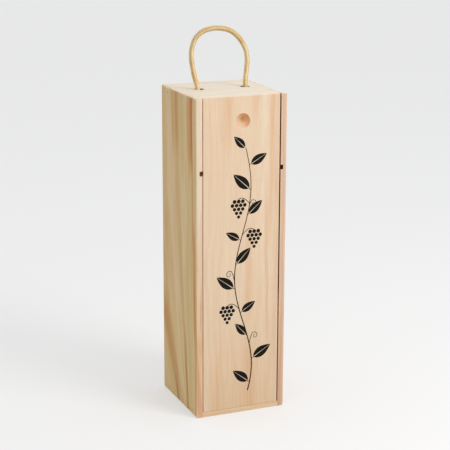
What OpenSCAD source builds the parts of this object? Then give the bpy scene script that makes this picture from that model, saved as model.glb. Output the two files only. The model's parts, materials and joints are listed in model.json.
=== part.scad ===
// Upright wooden box for one bottle, with a lid that slides up and out at the top and a rope handle.
// Millimetres. The origin is under the middle of the box, +Z is up and the lid faces -Y.

/* [Box] */
// Outside width, across both side boards
box_w = 103; // [96:1:130]
// Outside depth, front to back
box_d = 103; // [96:1:130]
// Outside height
box_h = 350; // [325:1:420]
// Height of the middle of the neck rest above the base
rest_z = 271.3; // [240:0.1:290]

/* [Side boards] */
// Thickness of each side board
side_t = 7; // [6.5:0.5:9]
// Thickness of the lip in front of the lid groove
lip_t = 4.5; // [3.5:0.1:5.5]
// Depth of the lid groove into the side board
groove_depth = 3.2; // [2:0.1:4]
// Depth of the dado that holds the neck rest
dado_depth = 3; // [2:0.1:4]
// Width of the rebate that takes the edge of the back panel
rebate_depth = 3.5; // [2.5:0.1:4]
// Radius of the outer upright edges
arris_r = 1.2; // [0.5:0.1:2]
// Radius of the outer edges along the top and the base
corner_r = 2.2; // [1:0.1:3]

/* [Lid] */
// Thickness of the tongues along both edges of the lid
tongue_t = 3.1; // [2.5:0.1:4]
// Gap in front between the lid and each lip
lid_side_gap = 1.1; // [0.5:0.1:2]
// How far the face of the lid lies behind the lips
lid_inset = 0.2; // [0:0.1:1]
// Diameter of the thumb dish
dish_d = 16.8; // [12:0.2:20]
// Depth of the thumb dish
dish_depth = 2.2; // [1:0.1:3]
// Distance from the top of the lid to the middle of the thumb dish
dish_drop = 26.3; // [18:0.1:60]
// Sideways place of the thumb dish from the middle of the lid
dish_x = 1; // [-5:0.5:5]

/* [Top, bottom and back] */
// Thickness of the top board
top_t = 11; // [9:0.5:16]
// Thickness of the bottom board
bottom_t = 11; // [9:0.5:16]
// Height of the sill that the lid stands on
sill_h = 5.5; // [3:0.5:7]
// Thickness of the back panel
back_t = 5; // [4:0.5:7]

/* [Neck rest] */
// Thickness of the neck rest
rest_t = 4.5; // [3:0.1:6]
// Width of the notch for the bottle's neck
neck_d = 34; // [30:1:40]

/* [Rope handle] */
// Diameter of the rope
rope_d = 6; // [5:0.5:7]
// Slack between the rope and its hole, all round
hole_slack = 2; // [1:0.25:3]
// Distance between the middles of the two rope holes
hole_pitch = 53; // [48:1:58]
// Sideways place of the pair of holes from the middle of the top board
hole_shift = 1; // [-2:0.5:2]
// Place of the holes behind the middle of the box
hole_y = 6; // [0:0.5:10]
// Diameter of each stopper knot
knot_d = 14; // [13:0.5:16]
// Length of the rope's end below its knot
rope_end = 12; // [8:1:20]

/* [Brads] */
// Diameter of a brad's shank
brad_d = 1.3; // [1:0.1:2]
// Length of a brad
brad_len = 20; // [16:1:24]
// Diameter of a brad's head
brad_head_d = 2.2; // [1.8:0.1:3]
// Thickness of a brad's head
brad_head_t = 0.6; // [0.4:0.1:1]
// How far a brad's head is set below the wood
brad_sink = 0.3; // [0.1:0.1:0.6]
// Distance from the front of a side board to its first brad
brad_first = 12; // [10:0.5:16]
// Distance from the first brad to the middle one
brad_step = 30.5; // [24:0.5:32]
// Distance from the last brad to the back of a side board
brad_last = 18.5; // [14:0.5:22]
// Distance between the brads in the back panel
back_brad_step = 20; // [16:1:22]

/* [Fits] */
// Running gap between the lid and whatever it slides past
slide_gap = 0.25; // [0.15:0.05:0.5]
// Gap between a tongue's edge and the bottom of its groove
tongue_end_gap = 0.5; // [0.3:0.1:1]
// Gap between the neck rest and its dado
dado_gap = 0.15; // [0.05:0.05:0.3]
// Gap that the lid keeps above its sill
sill_gap = 0.3; // [0.1:0.1:0.5]
// Gap between the rope and the side of its hole where it leans
rope_lean_gap = 0.5; // [0.3:0.1:0.8]
// Gap between the swinging rope and what lies under it
rope_swing_gap = 0.3; // [0.2:0.1:0.6]

/* [Hidden] */

round_fn = 64;
skin = 1; // How far a cutter reaches past the face it cuts

half_w = box_w / 2;
half_d = box_d / 2;
front_y = -half_d;

bay_x = half_w - side_t;
groove_w = tongue_t + 2 * slide_gap;
groove_y = front_y + lip_t;
bay_front_y = groove_y + groove_w;
panel_y = half_d - back_t;

lid_front_y = front_y + lid_inset;
tongue_y = groove_y + slide_gap;
lid_back_y = tongue_y + tongue_t;
lid_face_x = bay_x - lid_side_gap;
lid_tongue_x = bay_x + groove_depth - tongue_end_gap;
lid_bottom_z = sill_h + sill_gap;
dish_r = (pow(dish_d / 2, 2) + pow(dish_depth, 2)) / (2 * dish_depth);

dado_h = rest_t + 2 * dado_gap;
bay_middle_y = (bay_front_y + panel_y) / 2;

rope_r = rope_d / 2;
hole_d = rope_d + 2 * hole_slack;
hole_x = [hole_shift - hole_pitch / 2, hole_shift + hole_pitch / 2];
rope_lean = hole_slack - rope_lean_gap;
rope_end_x = [hole_x[0] - rope_lean, hole_x[1] + rope_lean];
under_top_z = box_h - top_t;
rope_stub_top_z = box_h + 0.2;
swing_z = rope_stub_top_z + rope_swing_gap + rope_r;
rope_sides = 10;

// The rope's middle line: sideways from its own hole, and up from the line that it swings about
left_route = [
    [-2, 0], [-4.5, 8], [-6.5, 17], [-8, 26], [-8.5, 35], [-7, 43.5], [-3.5, 51],
    [2.5, 56.5], [10.5, 59.5], [19.5, 60.5]
];
right_route = [
    [-24.5, 59.5], [-16, 56.5], [-8.5, 50.5], [-3, 43.5], [1, 35.5], [2.5, 26.5],
    [2, 17], [1, 8], [0.5, 0]
];
rope_route = concat(
    [for (p = left_route) [hole_x[0] + p[0], hole_y, swing_z + p[1]]],
    [for (p = right_route) [hole_x[1] + p[0], hole_y, swing_z + p[1]]]
);

brad_y = [front_y + brad_first, front_y + brad_first + brad_step, half_d - brad_last];
back_brad_x = [-back_brad_step, 0, back_brad_step];
bottom_brad_z = sill_h;
top_brad_z = box_h - top_t / 2;

// Cuts the edge at the origin, which runs up +Z with the wood at -X and -Y, to a radius
module edge_round(length, r) {
    difference() {
        translate([-r, -r, -skin]) cube([r + skin, r + skin, length + 2 * skin]);
        translate([-r, -r, -2 * skin]) cylinder(r = r, h = length + 4 * skin, $fn = round_fn);
    }
}

// One brad, its head at the origin's level less the sink, driven towards -Z
module brad() {
    translate([0, 0, -brad_sink - brad_head_t]) cylinder(d = brad_head_d, h = brad_head_t, $fn = 24);
    translate([0, 0, -brad_sink - brad_len])
        cylinder(d = brad_d, h = brad_len - brad_head_t, $fn = 24);
}

// The hole that a brad makes in the wood
module brad_hole() {
    translate([0, 0, -brad_sink - brad_head_t])
        cylinder(d = brad_head_d, h = brad_sink + brad_head_t + skin, $fn = 24);
    translate([0, 0, -brad_sink - brad_len]) cylinder(d = brad_d, h = brad_len, $fn = 24);
}

// Puts its children at each brad of the left side, driven towards +X at height z
module left_brad_row(z) {
    for (y = brad_y) translate([-half_w, y, z]) rotate([0, -90, 0]) children();
}

// Puts its children at each brad of the back panel, driven towards -Y at height z
module back_brad_row(z) {
    for (x = back_brad_x) translate([x, half_d, z]) rotate([-90, 0, 0]) children();
}

module mirrored_pair() {
    children();
    mirror([1, 0, 0]) children();
}

// The left side board: groove for the lid, dado for the neck rest, rebate for the back panel
module side_board() {
    difference() {
        translate([-half_w, front_y, 0]) cube([side_t, box_d, box_h]);
        translate([-bay_x - groove_depth, groove_y, -skin])
            cube([groove_depth + skin, groove_w, box_h + 2 * skin]);
        translate([-bay_x - dado_depth, front_y - skin, rest_z - dado_h / 2])
            cube([dado_depth + skin, box_d + 2 * skin, dado_h]);
        translate([-bay_x - rebate_depth, panel_y, -skin])
            cube([rebate_depth + skin, back_t + skin, box_h + 2 * skin]);
        translate([-half_w, front_y, 0]) rotate([0, 0, 180]) edge_round(box_h, arris_r);
        translate([-half_w, half_d, 0]) rotate([0, 0, 90]) edge_round(box_h, arris_r);
        translate([-half_w, half_d, box_h]) rotate([90, -90, 0]) edge_round(box_d, corner_r);
        translate([-half_w, front_y, 0]) rotate([-90, -90, 0]) edge_round(box_d, corner_r);
        left_brad_row(bottom_brad_z) brad_hole();
        left_brad_row(top_brad_z) brad_hole();
    }
}

module left_side() {
    color("burlywood") side_board();
}

module right_side() {
    color("burlywood") mirror([1, 0, 0]) side_board();
}

module back_panel() {
    panel_x = bay_x + rebate_depth;
    color("wheat") difference() {
        translate([-panel_x, panel_y, 0]) cube([2 * panel_x, back_t, box_h]);
        back_brad_row(top_brad_z) brad_hole();
        back_brad_row(bottom_brad_z) brad_hole();
    }
}

module top_board() {
    color("cornsilk") difference() {
        translate([-bay_x, bay_front_y, under_top_z]) cube([2 * bay_x, panel_y - bay_front_y, top_t]);
        for (x = hole_x) translate([x, hole_y, under_top_z - skin])
            cylinder(d = hole_d, h = top_t + 2 * skin, $fn = round_fn);
        mirrored_pair() left_brad_row(top_brad_z) brad_hole();
        back_brad_row(top_brad_z) brad_hole();
    }
}

// The bottom board has a sill in front, where the lid's foot stands
module bottom_board() {
    color("wheat") difference() {
        translate([-bay_x, front_y, 0]) cube([2 * bay_x, panel_y - front_y, bottom_t]);
        translate([-bay_x - skin, front_y - skin, sill_h])
            cube([2 * (bay_x + skin), bay_front_y - front_y + skin, bottom_t]);
        mirrored_pair() left_brad_row(bottom_brad_z) brad_hole();
        back_brad_row(bottom_brad_z) brad_hole();
    }
}

// The lid's face fills the space between the lips, and its tongues run in the grooves
module lid() {
    lid_h = box_h - lid_bottom_z;
    color("bisque") difference() {
        union() {
            translate([-lid_face_x, lid_front_y, lid_bottom_z])
                cube([2 * lid_face_x, lid_back_y - lid_front_y, lid_h]);
            translate([-lid_tongue_x, tongue_y, lid_bottom_z]) cube([2 * lid_tongue_x, tongue_t, lid_h]);
        }
        translate([dish_x, lid_front_y + dish_depth - dish_r, box_h - dish_drop])
            sphere(r = dish_r, $fn = round_fn);
    }
}

// A plate in the dados, with a notch open to the front for the bottle's neck
module neck_rest() {
    plate_x = bay_x + dado_depth - dado_gap;
    color("tan") difference() {
        translate([-plate_x, bay_front_y, rest_z - rest_t / 2])
            cube([2 * plate_x, panel_y - bay_front_y, rest_t]);
        translate([0, bay_middle_y, rest_z - rest_t]) cylinder(d = neck_d, h = 2 * rest_t, $fn = round_fn);
        translate([-neck_d / 2, bay_front_y - skin, rest_z - rest_t])
            cube([neck_d, bay_middle_y - bay_front_y + skin, 2 * rest_t]);
    }
}

// Unit direction of a route in the X-Z plane at point i
function route_way(route, i) =
    let (last = len(route) - 1,
        step = route[min(i + 1, last)] - route[max(i - 1, 0)])
    step / norm(step);

// Points of one ring of a tube about p, square to way; along is how far it lies along way
function ring_points(p, way, r, along, sides) =
    let (across = [way[2], 0, -way[0]])
    [for (k = [0 : sides - 1])
        p + way * along + r * (cos(360 * k / sides) * across + sin(360 * k / sides) * [0, 1, 0])];

// The angles at which the rings of a rounded tube end lie round its last point
end_angles = [20, 55];

// A tube along a route in the X-Z plane, with rounded ends
module rounded_tube(route, r, sides) {
    last = len(route) - 1;
    rings = concat(
        [for (j = [0 : len(end_angles) - 1])
            ring_points(route[0], route_way(route, 0), r * sin(end_angles[j]),
                -r * cos(end_angles[j]), sides)],
        [for (i = [0 : last]) ring_points(route[i], route_way(route, i), r, 0, sides)],
        [for (j = [len(end_angles) - 1 : -1 : 0])
            ring_points(route[last], route_way(route, last), r * sin(end_angles[j]),
                r * cos(end_angles[j]), sides)]
    );
    ring_count = len(rings);
    points = [for (ring = rings) each ring];
    walls = [for (i = [0 : ring_count - 2], k = [0 : sides - 1])
        let (a = i * sides + k, b = i * sides + (k + 1) % sides)
        each [[a, b, a + sides], [b, b + sides, a + sides]]];
    first_cap = [for (k = [1 : sides - 2]) [0, k + 1, k]];
    base = (ring_count - 1) * sides;
    last_cap = [for (k = [1 : sides - 2]) [base, base + k, base + k + 1]];
    polyhedron(points = points, faces = concat(walls, first_cap, last_cap));
}

module handle_rope() {
    color("khaki") rounded_tube(rope_route, rope_r, rope_sides);
}

// The rope in its hole, its stopper knot under the top board and the short end below it
module rope_end_at(x) {
    color("khaki") translate([x, hole_y, 0]) {
        knot_r = knot_d / 2;
        knot_z = under_top_z - knot_r * 0.8;
        translate([0, 0, knot_z]) cylinder(r = rope_r, h = rope_stub_top_z - knot_z, $fn = 32);
        intersection() {
            translate([0, 0, knot_z]) sphere(r = knot_r, $fn = 32);
            translate([-knot_d, -knot_d, under_top_z - 2 * knot_d]) cube(2 * knot_d);
        }
        translate([0, 0, knot_z - knot_r - rope_end])
            cylinder(r = rope_r, h = knot_r + rope_end, $fn = 32);
    }
}

module left_rope_end() {
    rope_end_at(rope_end_x[0]);
}

module right_rope_end() {
    rope_end_at(rope_end_x[1]);
}

module bottom_left_brads() {
    color("gray") left_brad_row(bottom_brad_z) brad();
}

module bottom_right_brads() {
    color("gray") mirror([1, 0, 0]) left_brad_row(bottom_brad_z) brad();
}

module top_left_brads() {
    color("gray") left_brad_row(top_brad_z) brad();
}

module top_right_brads() {
    color("gray") mirror([1, 0, 0]) left_brad_row(top_brad_z) brad();
}

module back_top_brads() {
    color("gray") back_brad_row(top_brad_z) brad();
}

module back_bottom_brads() {
    color("gray") back_brad_row(bottom_brad_z) brad();
}

left_side();
right_side();
back_panel();
top_board();
bottom_board();
lid();
neck_rest();
handle_rope();
left_rope_end();
right_rope_end();
bottom_left_brads();
bottom_right_brads();
top_left_brads();
top_right_brads();
back_top_brads();
back_bottom_brads();
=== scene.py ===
"""An upright pine box for one bottle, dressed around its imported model.

The boards, the sliding lid, the neck rest, the brads and the braided rope handle are each made as
their own piece, in metres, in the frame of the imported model: the base is at height 0, the lid
faces -Y and X runs to the right.
"""

import json
import logging
import math
from collections.abc import Iterable
from dataclasses import dataclass
from enum import Enum

import bmesh
import bpy
import numpy as np
from bpy.types import Material, Mesh, Node, NodeTree, Object
from bpy.types import NodeSocket as Socket
from bpy.types import bpy_prop_collection as Sockets
from mathutils import Matrix, Vector

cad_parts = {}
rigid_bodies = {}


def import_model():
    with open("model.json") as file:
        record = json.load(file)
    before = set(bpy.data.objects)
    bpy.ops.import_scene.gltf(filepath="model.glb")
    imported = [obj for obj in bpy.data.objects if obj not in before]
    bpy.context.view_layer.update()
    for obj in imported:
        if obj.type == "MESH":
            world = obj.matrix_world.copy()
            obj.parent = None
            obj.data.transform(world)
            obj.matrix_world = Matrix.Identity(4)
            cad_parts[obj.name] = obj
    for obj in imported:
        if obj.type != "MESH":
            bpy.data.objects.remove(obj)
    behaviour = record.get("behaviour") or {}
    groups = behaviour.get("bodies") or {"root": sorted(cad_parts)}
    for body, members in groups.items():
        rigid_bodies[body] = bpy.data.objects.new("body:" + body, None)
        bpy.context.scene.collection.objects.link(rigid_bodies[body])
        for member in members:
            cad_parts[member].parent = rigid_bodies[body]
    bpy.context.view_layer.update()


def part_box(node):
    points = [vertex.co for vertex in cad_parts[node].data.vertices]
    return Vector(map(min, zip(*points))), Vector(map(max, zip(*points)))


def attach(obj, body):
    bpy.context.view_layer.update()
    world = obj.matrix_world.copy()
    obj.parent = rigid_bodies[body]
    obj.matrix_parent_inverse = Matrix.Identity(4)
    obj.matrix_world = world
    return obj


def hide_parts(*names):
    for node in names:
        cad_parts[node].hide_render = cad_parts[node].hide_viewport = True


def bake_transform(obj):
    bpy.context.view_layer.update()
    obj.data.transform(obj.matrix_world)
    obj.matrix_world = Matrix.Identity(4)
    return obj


LOG = logging.getLogger("bottle_box")
MM = 0.001

Point = tuple[float, float, float]
Flat = tuple[float, float]
Colour = tuple[float, float, float]
Faces = list[tuple[int, ...]]


def colour_of(red: int, green: int, blue: int) -> Colour:
    """Turns a colour as it shows on a screen into the linear values that a shader wants.

    Args:
        red: Red, 0 to 255.
        green: Green, 0 to 255.
        blue: Blue, 0 to 255.

    Returns:
        The three linear values, 0 to 1.
    """
    def linear(value: float) -> float:
        """Undoes the screen's curve for one value."""
        share = value / 255
        return share / 12.92 if share <= 0.04045 else ((share + 0.055) / 1.055) ** 2.4

    return linear(red), linear(green), linear(blue)


def metres(lengths: Iterable[float]) -> tuple[float, ...]:
    """Turns millimetres into metres."""
    return tuple(length * MM for length in lengths)


# ---- Node trees ----


class Graph:
    """Adds nodes and links to one node tree."""

    def __init__(self, tree: NodeTree) -> None:
        """Keeps the tree that the nodes go into."""
        self.tree = tree

    def add(self, kind: str, inputs: dict | None = None, **settings: object) -> Node:
        """Adds one node.

        Args:
            kind: The node's type.
            inputs: Values or sockets for its inputs, by name or by number.
            settings: The node's own settings.

        Returns:
            The new node.
        """
        node = self.tree.nodes.new(kind)
        for name, value in settings.items():
            setattr(node, name, value)
        for name, value in (inputs or {}).items():
            self.feed(node.inputs[name], value)
        return node

    def get(self, kind: str, inputs: dict | None = None, **settings: object) -> Socket:
        """Adds one node and returns its first output."""
        return self.add(kind, inputs, **settings).outputs[0]

    def feed(self, socket: Socket, value: object) -> None:
        """Links a socket to another, or sets its value.

        Args:
            socket: The input.
            value: An output socket, a number, a point or a colour.
        """
        if isinstance(value, Socket):
            self.tree.links.new(value, socket)
        elif socket.type == "RGBA" and len(value) == 3:
            socket.default_value = (*value, 1.0)
        else:
            socket.default_value = value

    def math(self, operation: str, *values: object, clamp: bool = False) -> Socket:
        """Adds a Math node and returns its result."""
        return self.get("ShaderNodeMath", dict(enumerate(values)), operation=operation,
                        use_clamp=clamp)

    def line(self, value: object, gain: object, offset: object) -> Socket:
        """Multiplies a value by a gain and adds an offset."""
        return self.math("MULTIPLY_ADD", value, gain, offset)

    def product(self, first: object, *others: object) -> Socket:
        """Multiplies two or more numbers."""
        for other in others:
            first = self.math("MULTIPLY", first, other)
        return first

    def distance(self, x: Socket, y: Socket) -> Socket:
        """How far a place lies from the origin in two directions."""
        return self.math("SQRT", self.math("ADD", self.product(x, x), self.product(y, y)))

    def vector(self, operation: str, *values: object) -> Socket:
        """Adds a Vector Math node and returns its vector."""
        return self.get("ShaderNodeVectorMath", dict(enumerate(values)), operation=operation)

    def scaled(self, vector: Socket, share: Socket) -> Socket:
        """A vector times a number."""
        return self.get("ShaderNodeVectorMath", {0: vector, "Scale": share}, operation="SCALE")

    def split(self, vector: Socket) -> list[Socket]:
        """Splits a vector into its three numbers."""
        return list(self.add("ShaderNodeSeparateXYZ", {0: vector}).outputs)

    def step(self, value: object, low: object, high: object, start: float = 0.0,
             end: float = 1.0) -> Socket:
        """A smooth step of a value.

        Args:
            value: What is stepped.
            low: Where the step begins.
            high: Where it ends.
            start: The result below low.
            end: The result above high.

        Returns:
            The socket with the result.
        """
        return self.get("ShaderNodeMapRange", {0: value, 1: low, 2: high, 3: start, 4: end},
                        interpolation_type="SMOOTHSTEP")

    def fall(self, value: object, low: object, high: object) -> Socket:
        """A smooth step of a value from 1 down to 0."""
        return self.step(value, low, high, 1.0, 0.0)

    def mix(self, share: object, first: object, second: object, way: str = "MIX") -> Socket:
        """Mixes two colours.

        Args:
            share: How much of the second colour shows.
            first: The first colour.
            second: The second colour.
            way: How they are mixed.

        Returns:
            The socket with the mixed colour.
        """
        return self.add("ShaderNodeMix", {0: share, 6: first, 7: second}, data_type="RGBA",
                        blend_type=way).outputs[2]

    def noise(self, vector: Socket, scale: float | Point, detail: float = 2.0,
              rough: float = 0.5, seed: object = 0.0) -> Sockets:
        """Adds a noise.

        Args:
            vector: Where it is read.
            scale: How often it changes, per metre. Three numbers stretch it along each axis.
            detail: How many finer layers it has.
            rough: How strong they are.
            seed: What makes it differ from other noises.

        Returns:
            Its outputs.
        """
        if isinstance(scale, tuple):
            vector, scale = self.vector("MULTIPLY", vector, scale), 1
        return self.add("ShaderNodeTexNoise",
                        {"Vector": vector, "W": seed, "Scale": scale, "Detail": detail,
                         "Roughness": rough}, noise_dimensions="4D").outputs

    def group(self, tree: NodeTree, inputs: dict) -> Sockets:
        """Places a node group with its own values and returns its outputs."""
        return self.add("ShaderNodeGroup", inputs, node_tree=tree).outputs

    def surface(self, shader: Node, colour: Socket, roughness: Socket, height: Socket,
                relief: Flat) -> None:
        """Gives a shader its colour, roughness and relief.

        Args:
            shader: The Principled shader.
            colour: Its base colour.
            roughness: Its roughness.
            height: The relief's height, from 0 to 1.
            relief: The relief's strength and its depth in millimetres.
        """
        self.feed(shader.inputs["Base Color"], colour)
        self.feed(shader.inputs["Roughness"], roughness)
        strength, depth = relief
        self.feed(shader.inputs["Normal"], self.get("ShaderNodeBump", {
            "Height": height, "Strength": strength, "Distance": depth * MM}))


def new_group(name: str, inputs: dict[str, str], outputs: dict[str, str],
              kind: str = "ShaderNodeTree") -> tuple[Graph, Sockets, Sockets]:
    """Starts a node group.

    Args:
        name: The group's name.
        inputs: The kind of each input, by name.
        outputs: The kind of each output, by name.
        kind: The type of tree.

    Returns:
        The graph, what is given to the group and what it gives out.
    """
    tree = bpy.data.node_groups.new(name, kind)
    for direction, sockets in (("INPUT", inputs), ("OUTPUT", outputs)):
        for socket, of_kind in sockets.items():
            tree.interface.new_socket(socket, in_out=direction, socket_type="NodeSocket" + of_kind)
    given, out = tree.nodes.new("NodeGroupInput"), tree.nodes.new("NodeGroupOutput")
    return Graph(tree), given.outputs, out.inputs


def start_finish(name: str, values: dict[str, float] | None = None
                 ) -> tuple[Material, Graph, Node]:
    """Starts a material.

    Args:
        name: Its name.
        values: What its shader's own sockets are set to, by name.

    Returns:
        The material, its graph and its Principled shader.
    """
    material = bpy.data.materials.new(name)
    material.use_nodes = True
    g = Graph(material.node_tree)
    shader = g.tree.nodes["Principled BSDF"]
    for socket, value in (values or {}).items():
        shader.inputs[socket].default_value = value
    return material, g, shader


class Pattern(Enum):
    """How often each pattern in the wood changes, per metre across and along the grain."""

    SWAY = (26, 26, 4.5)
    RIPPLE = (160, 160, 12)
    FIBRES = (1500, 1500, 26)
    FLECKS = (1300, 1300, 110)
    TONE = (45, 45, 5)
    LEAN = (0, 0, 13)
    RAGGED = (150, 150, 7)
    LINES = (900, 900, 7)
    SAW_MARKS = (120, 120, 30)


class WoodEffects:
    """The shader groups that the wooden pieces share."""

    mid_grey: Point = (0.5, 0.5, 0.5)
    streak_sway: float = 6.0
    wear_scale: float = 220.0
    wear_depth: float = 0.8

    def __init__(self) -> None:
        """Builds each group once."""
        self.grain = self._grain()
        self.fringe = self._fringe()
        self.streak = self._streak()
        self.edge = self._edge()
        self.flow = self._flow()

    def grow(self, g: Graph, place: Socket, pith: Flat, ring_gap: float, wander: float,
             seed: float) -> Sockets:
        """Grows the grain of one piece of wood. Lengths are in millimetres.

        Args:
            g: The material's graph.
            place: The place in the wood, with its grain upright.
            pith: Where the tree's middle stood.
            ring_gap: How far apart the rings are.
            wander: How far they stray.
            seed: What makes this piece differ from others.

        Returns:
            The rings, fibres, flecks and tone.
        """
        return g.group(self.grain, {
            "Vector": place, "Pith": (*metres(pith), 0),
            "Ring gap": ring_gap * MM, "Wander": wander * MM, "Seed": seed})

    def wear(self, g: Graph, place: Socket, low: Vector, high: Vector, width: float) -> Socket:
        """The worn edges of a board.

        Args:
            g: The material's graph.
            place: The place on the board.
            low: The board's lowest corner, in metres.
            high: The board's highest corner.
            width: How wide the worn strip is, in millimetres.

        Returns:
            How worn the place is.
        """
        return g.group(self.edge, {"Vector": place, "Middle": (low + high) / 2,
                                   "Half": (high - low) / 2, "Width": width * MM})[0]

    def _grain(self) -> NodeTree:
        """Growth rings round a pith, fibres along +Z and resin flecks."""
        g, given, out = new_group(
            "Pine grain",
            {"Vector": "Vector", "Pith": "Vector", "Ring gap": "Float", "Wander": "Float",
             "Seed": "Float"},
            {"Rings": "Float", "Fibres": "Float", "Flecks": "Float", "Tone": "Float"})
        vector, seed = given["Vector"], given["Seed"]
        push = g.vector("SUBTRACT", g.noise(vector, Pattern.SWAY.value, seed=seed)["Color"],
                        self.mid_grey)
        push = g.scaled(push, given["Wander"])
        x, y, _ = g.split(g.vector("SUBTRACT", g.vector("ADD", vector, push), given["Pith"]))
        count = g.math("DIVIDE", g.distance(x, y), given["Ring gap"])
        uneven = g.get("ShaderNodeTexNoise", {"W": g.product(count, 0.55), "Scale": 1.0,
                                              "Detail": 1.0}, noise_dimensions="1D")
        ripple = g.noise(vector, Pattern.RIPPLE.value, seed=seed)[0]
        count = g.math("ADD", g.math("ADD", count, g.product(uneven, 1.3)),
                       g.product(ripple, 0.22))
        year = g.get("ShaderNodeTexWhiteNoise", {"W": g.math("ADD", g.math("FLOOR", count), seed)},
                     noise_dimensions="1D")
        part = g.math("FRACT", count)
        late = g.product(g.step(part, 0.25, 0.86), g.fall(part, 0.9, 1.0))
        g.feed(out["Rings"], g.product(late, g.line(year, 0.75, 0.25)))
        fibres = g.noise(vector, Pattern.FIBRES.value, 3, 0.6, seed)[0]
        g.feed(out["Fibres"], g.step(fibres, 0.25, 0.75))
        flecks = g.noise(vector, Pattern.FLECKS.value, 1, seed=seed)[0]
        g.feed(out["Flecks"], g.step(flecks, 0.66, 0.74))
        tone = g.noise(vector, Pattern.TONE.value, 3, 0.55, g.math("ADD", seed, 7.0))[0]
        g.feed(out["Tone"], g.step(tone, 0.3, 0.7))
        return g.tree

    def _fringe(self) -> NodeTree:
        """What the streaks of a board share: their sway, ragged edges and inner lines."""
        g, given, out = new_group(
            "Streak fringe", {"Vector": "Vector", "Seed": "Float"},
            {"Place": "Vector", "Height": "Float", "Fringe": "Float", "Lines": "Float"})
        vector, seed = given["Vector"], given["Seed"]
        sway = g.vector("SUBTRACT", g.noise(vector, Pattern.LEAN.value, seed=seed)["Color"],
                        self.mid_grey)
        sway = g.vector("MULTIPLY", sway, (self.streak_sway * MM, self.streak_sway * MM, 0))
        flat = g.vector("MULTIPLY", vector, (1, 1, 0))
        g.feed(out["Place"], g.vector("SUBTRACT", flat, sway))
        g.feed(out["Height"], g.split(vector)[2])
        ragged = g.noise(vector, Pattern.RAGGED.value, 4, 0.6, seed)[0]
        lines = g.noise(vector, Pattern.LINES.value, 3, 0.6, seed)[0]
        g.feed(out["Fringe"], g.line(ragged, 1.3, g.line(lines, 0.8, -1.05)))
        g.feed(out["Lines"], g.step(lines, 0.34, 0.58, 0.45, 1.0))
        return g.tree

    @staticmethod
    def _streak() -> NodeTree:
        """A heartwood column, also painted shade, that leans and changes width as it rises."""
        g, given, out = new_group(
            "Heartwood streak and painted shade",
            {"Place": "Vector", "Height": "Float", "Fringe": "Float", "Foot": "Vector",
             "Top": "Vector", "Reach at foot": "Vector", "Reach at top": "Vector",
             "Low": "Float", "High": "Float", "Low start": "Float", "Low end": "Float",
             "High start": "Float", "High end": "Float"},
            {"Mask": "Float"})
        height = given["Height"]
        share = g.get("ShaderNodeMapRange", {0: height, 1: given["Low"],
                                             2: given["High"]})

        def between(first: str, second: str) -> Socket:
            """The value at this height between two inputs."""
            return g.add("ShaderNodeMix", {0: share, 4: given[first], 5: given[second]},
                         data_type="VECTOR").outputs[1]

        away = g.vector("DIVIDE", g.vector("SUBTRACT", given["Place"], between("Foot", "Top")),
                        between("Reach at foot", "Reach at top"))
        length = g.add("ShaderNodeVectorMath", {0: away}, operation="LENGTH").outputs["Value"]
        mask = g.fall(g.math("ADD", length, given["Fringe"]), 0.3, 1.1)
        g.feed(out["Mask"], g.product(
            mask, g.step(height, given["Low start"], given["Low end"]),
            g.fall(height, given["High start"], given["High end"])))
        return g.tree

    @staticmethod
    def _flow() -> NodeTree:
        """Bends upright grain so that it leans back and fans out as it rises."""
        g, given, out = new_group(
            "Grain flow",
            {"Vector": "Vector", "Pivot": "Float", "Lean": "Float", "Rise": "Float",
             "Spread": "Float"}, {"Vector": "Vector"})
        x, y, z = g.split(given["Vector"])
        gone = g.math("EXPONENT", g.math("DIVIDE", g.product(z, -1.0), given["Rise"]))
        lean = g.product(given["Lean"], g.math("SUBTRACT", 1.0, gone))
        fan = g.line(lean, given["Spread"], 1.0)
        off = g.math("SUBTRACT", g.math("SUBTRACT", y, given["Pivot"]), lean)
        y = g.math("ADD", g.math("DIVIDE", off, fan), given["Pivot"])
        g.feed(out[0], g.get("ShaderNodeCombineXYZ", {0: x, 1: y, 2: z}))
        return g.tree

    def _edge(self) -> NodeTree:
        """Wear along the edges of a board, from its middle and its half sizes."""
        g, given, out = new_group(
            "Edge wear",
            {"Vector": "Vector", "Middle": "Vector", "Half": "Vector", "Width": "Float"},
            {"Mask": "Float"})
        vector = given["Vector"]
        away = g.vector("ABSOLUTE", g.vector("SUBTRACT", vector, given["Middle"]))
        a, b, c = g.split(g.vector("SUBTRACT", given["Half"], away))
        low, high = g.math("MINIMUM", a, b), g.math("MAXIMUM", a, b)
        second = g.math("MAXIMUM", low, g.math("MINIMUM", high, c))
        rough = g.noise(vector, self.wear_scale, 3, 0.6)[0]
        depth = self.wear_depth * MM
        second = g.math("ADD", second, g.line(rough, 2 * depth, -depth))
        g.feed(out["Mask"], g.fall(second, 0.0, given["Width"]))
        return g.tree


# ---- Finishes ----


class GrainAxis(Enum):
    """Which way the grain runs, as the turn that brings it upright."""

    UPRIGHT = (0.0, 0.0, 0.0)
    SIDEWAYS = (0.0, math.pi / 2, 0.0)


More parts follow.
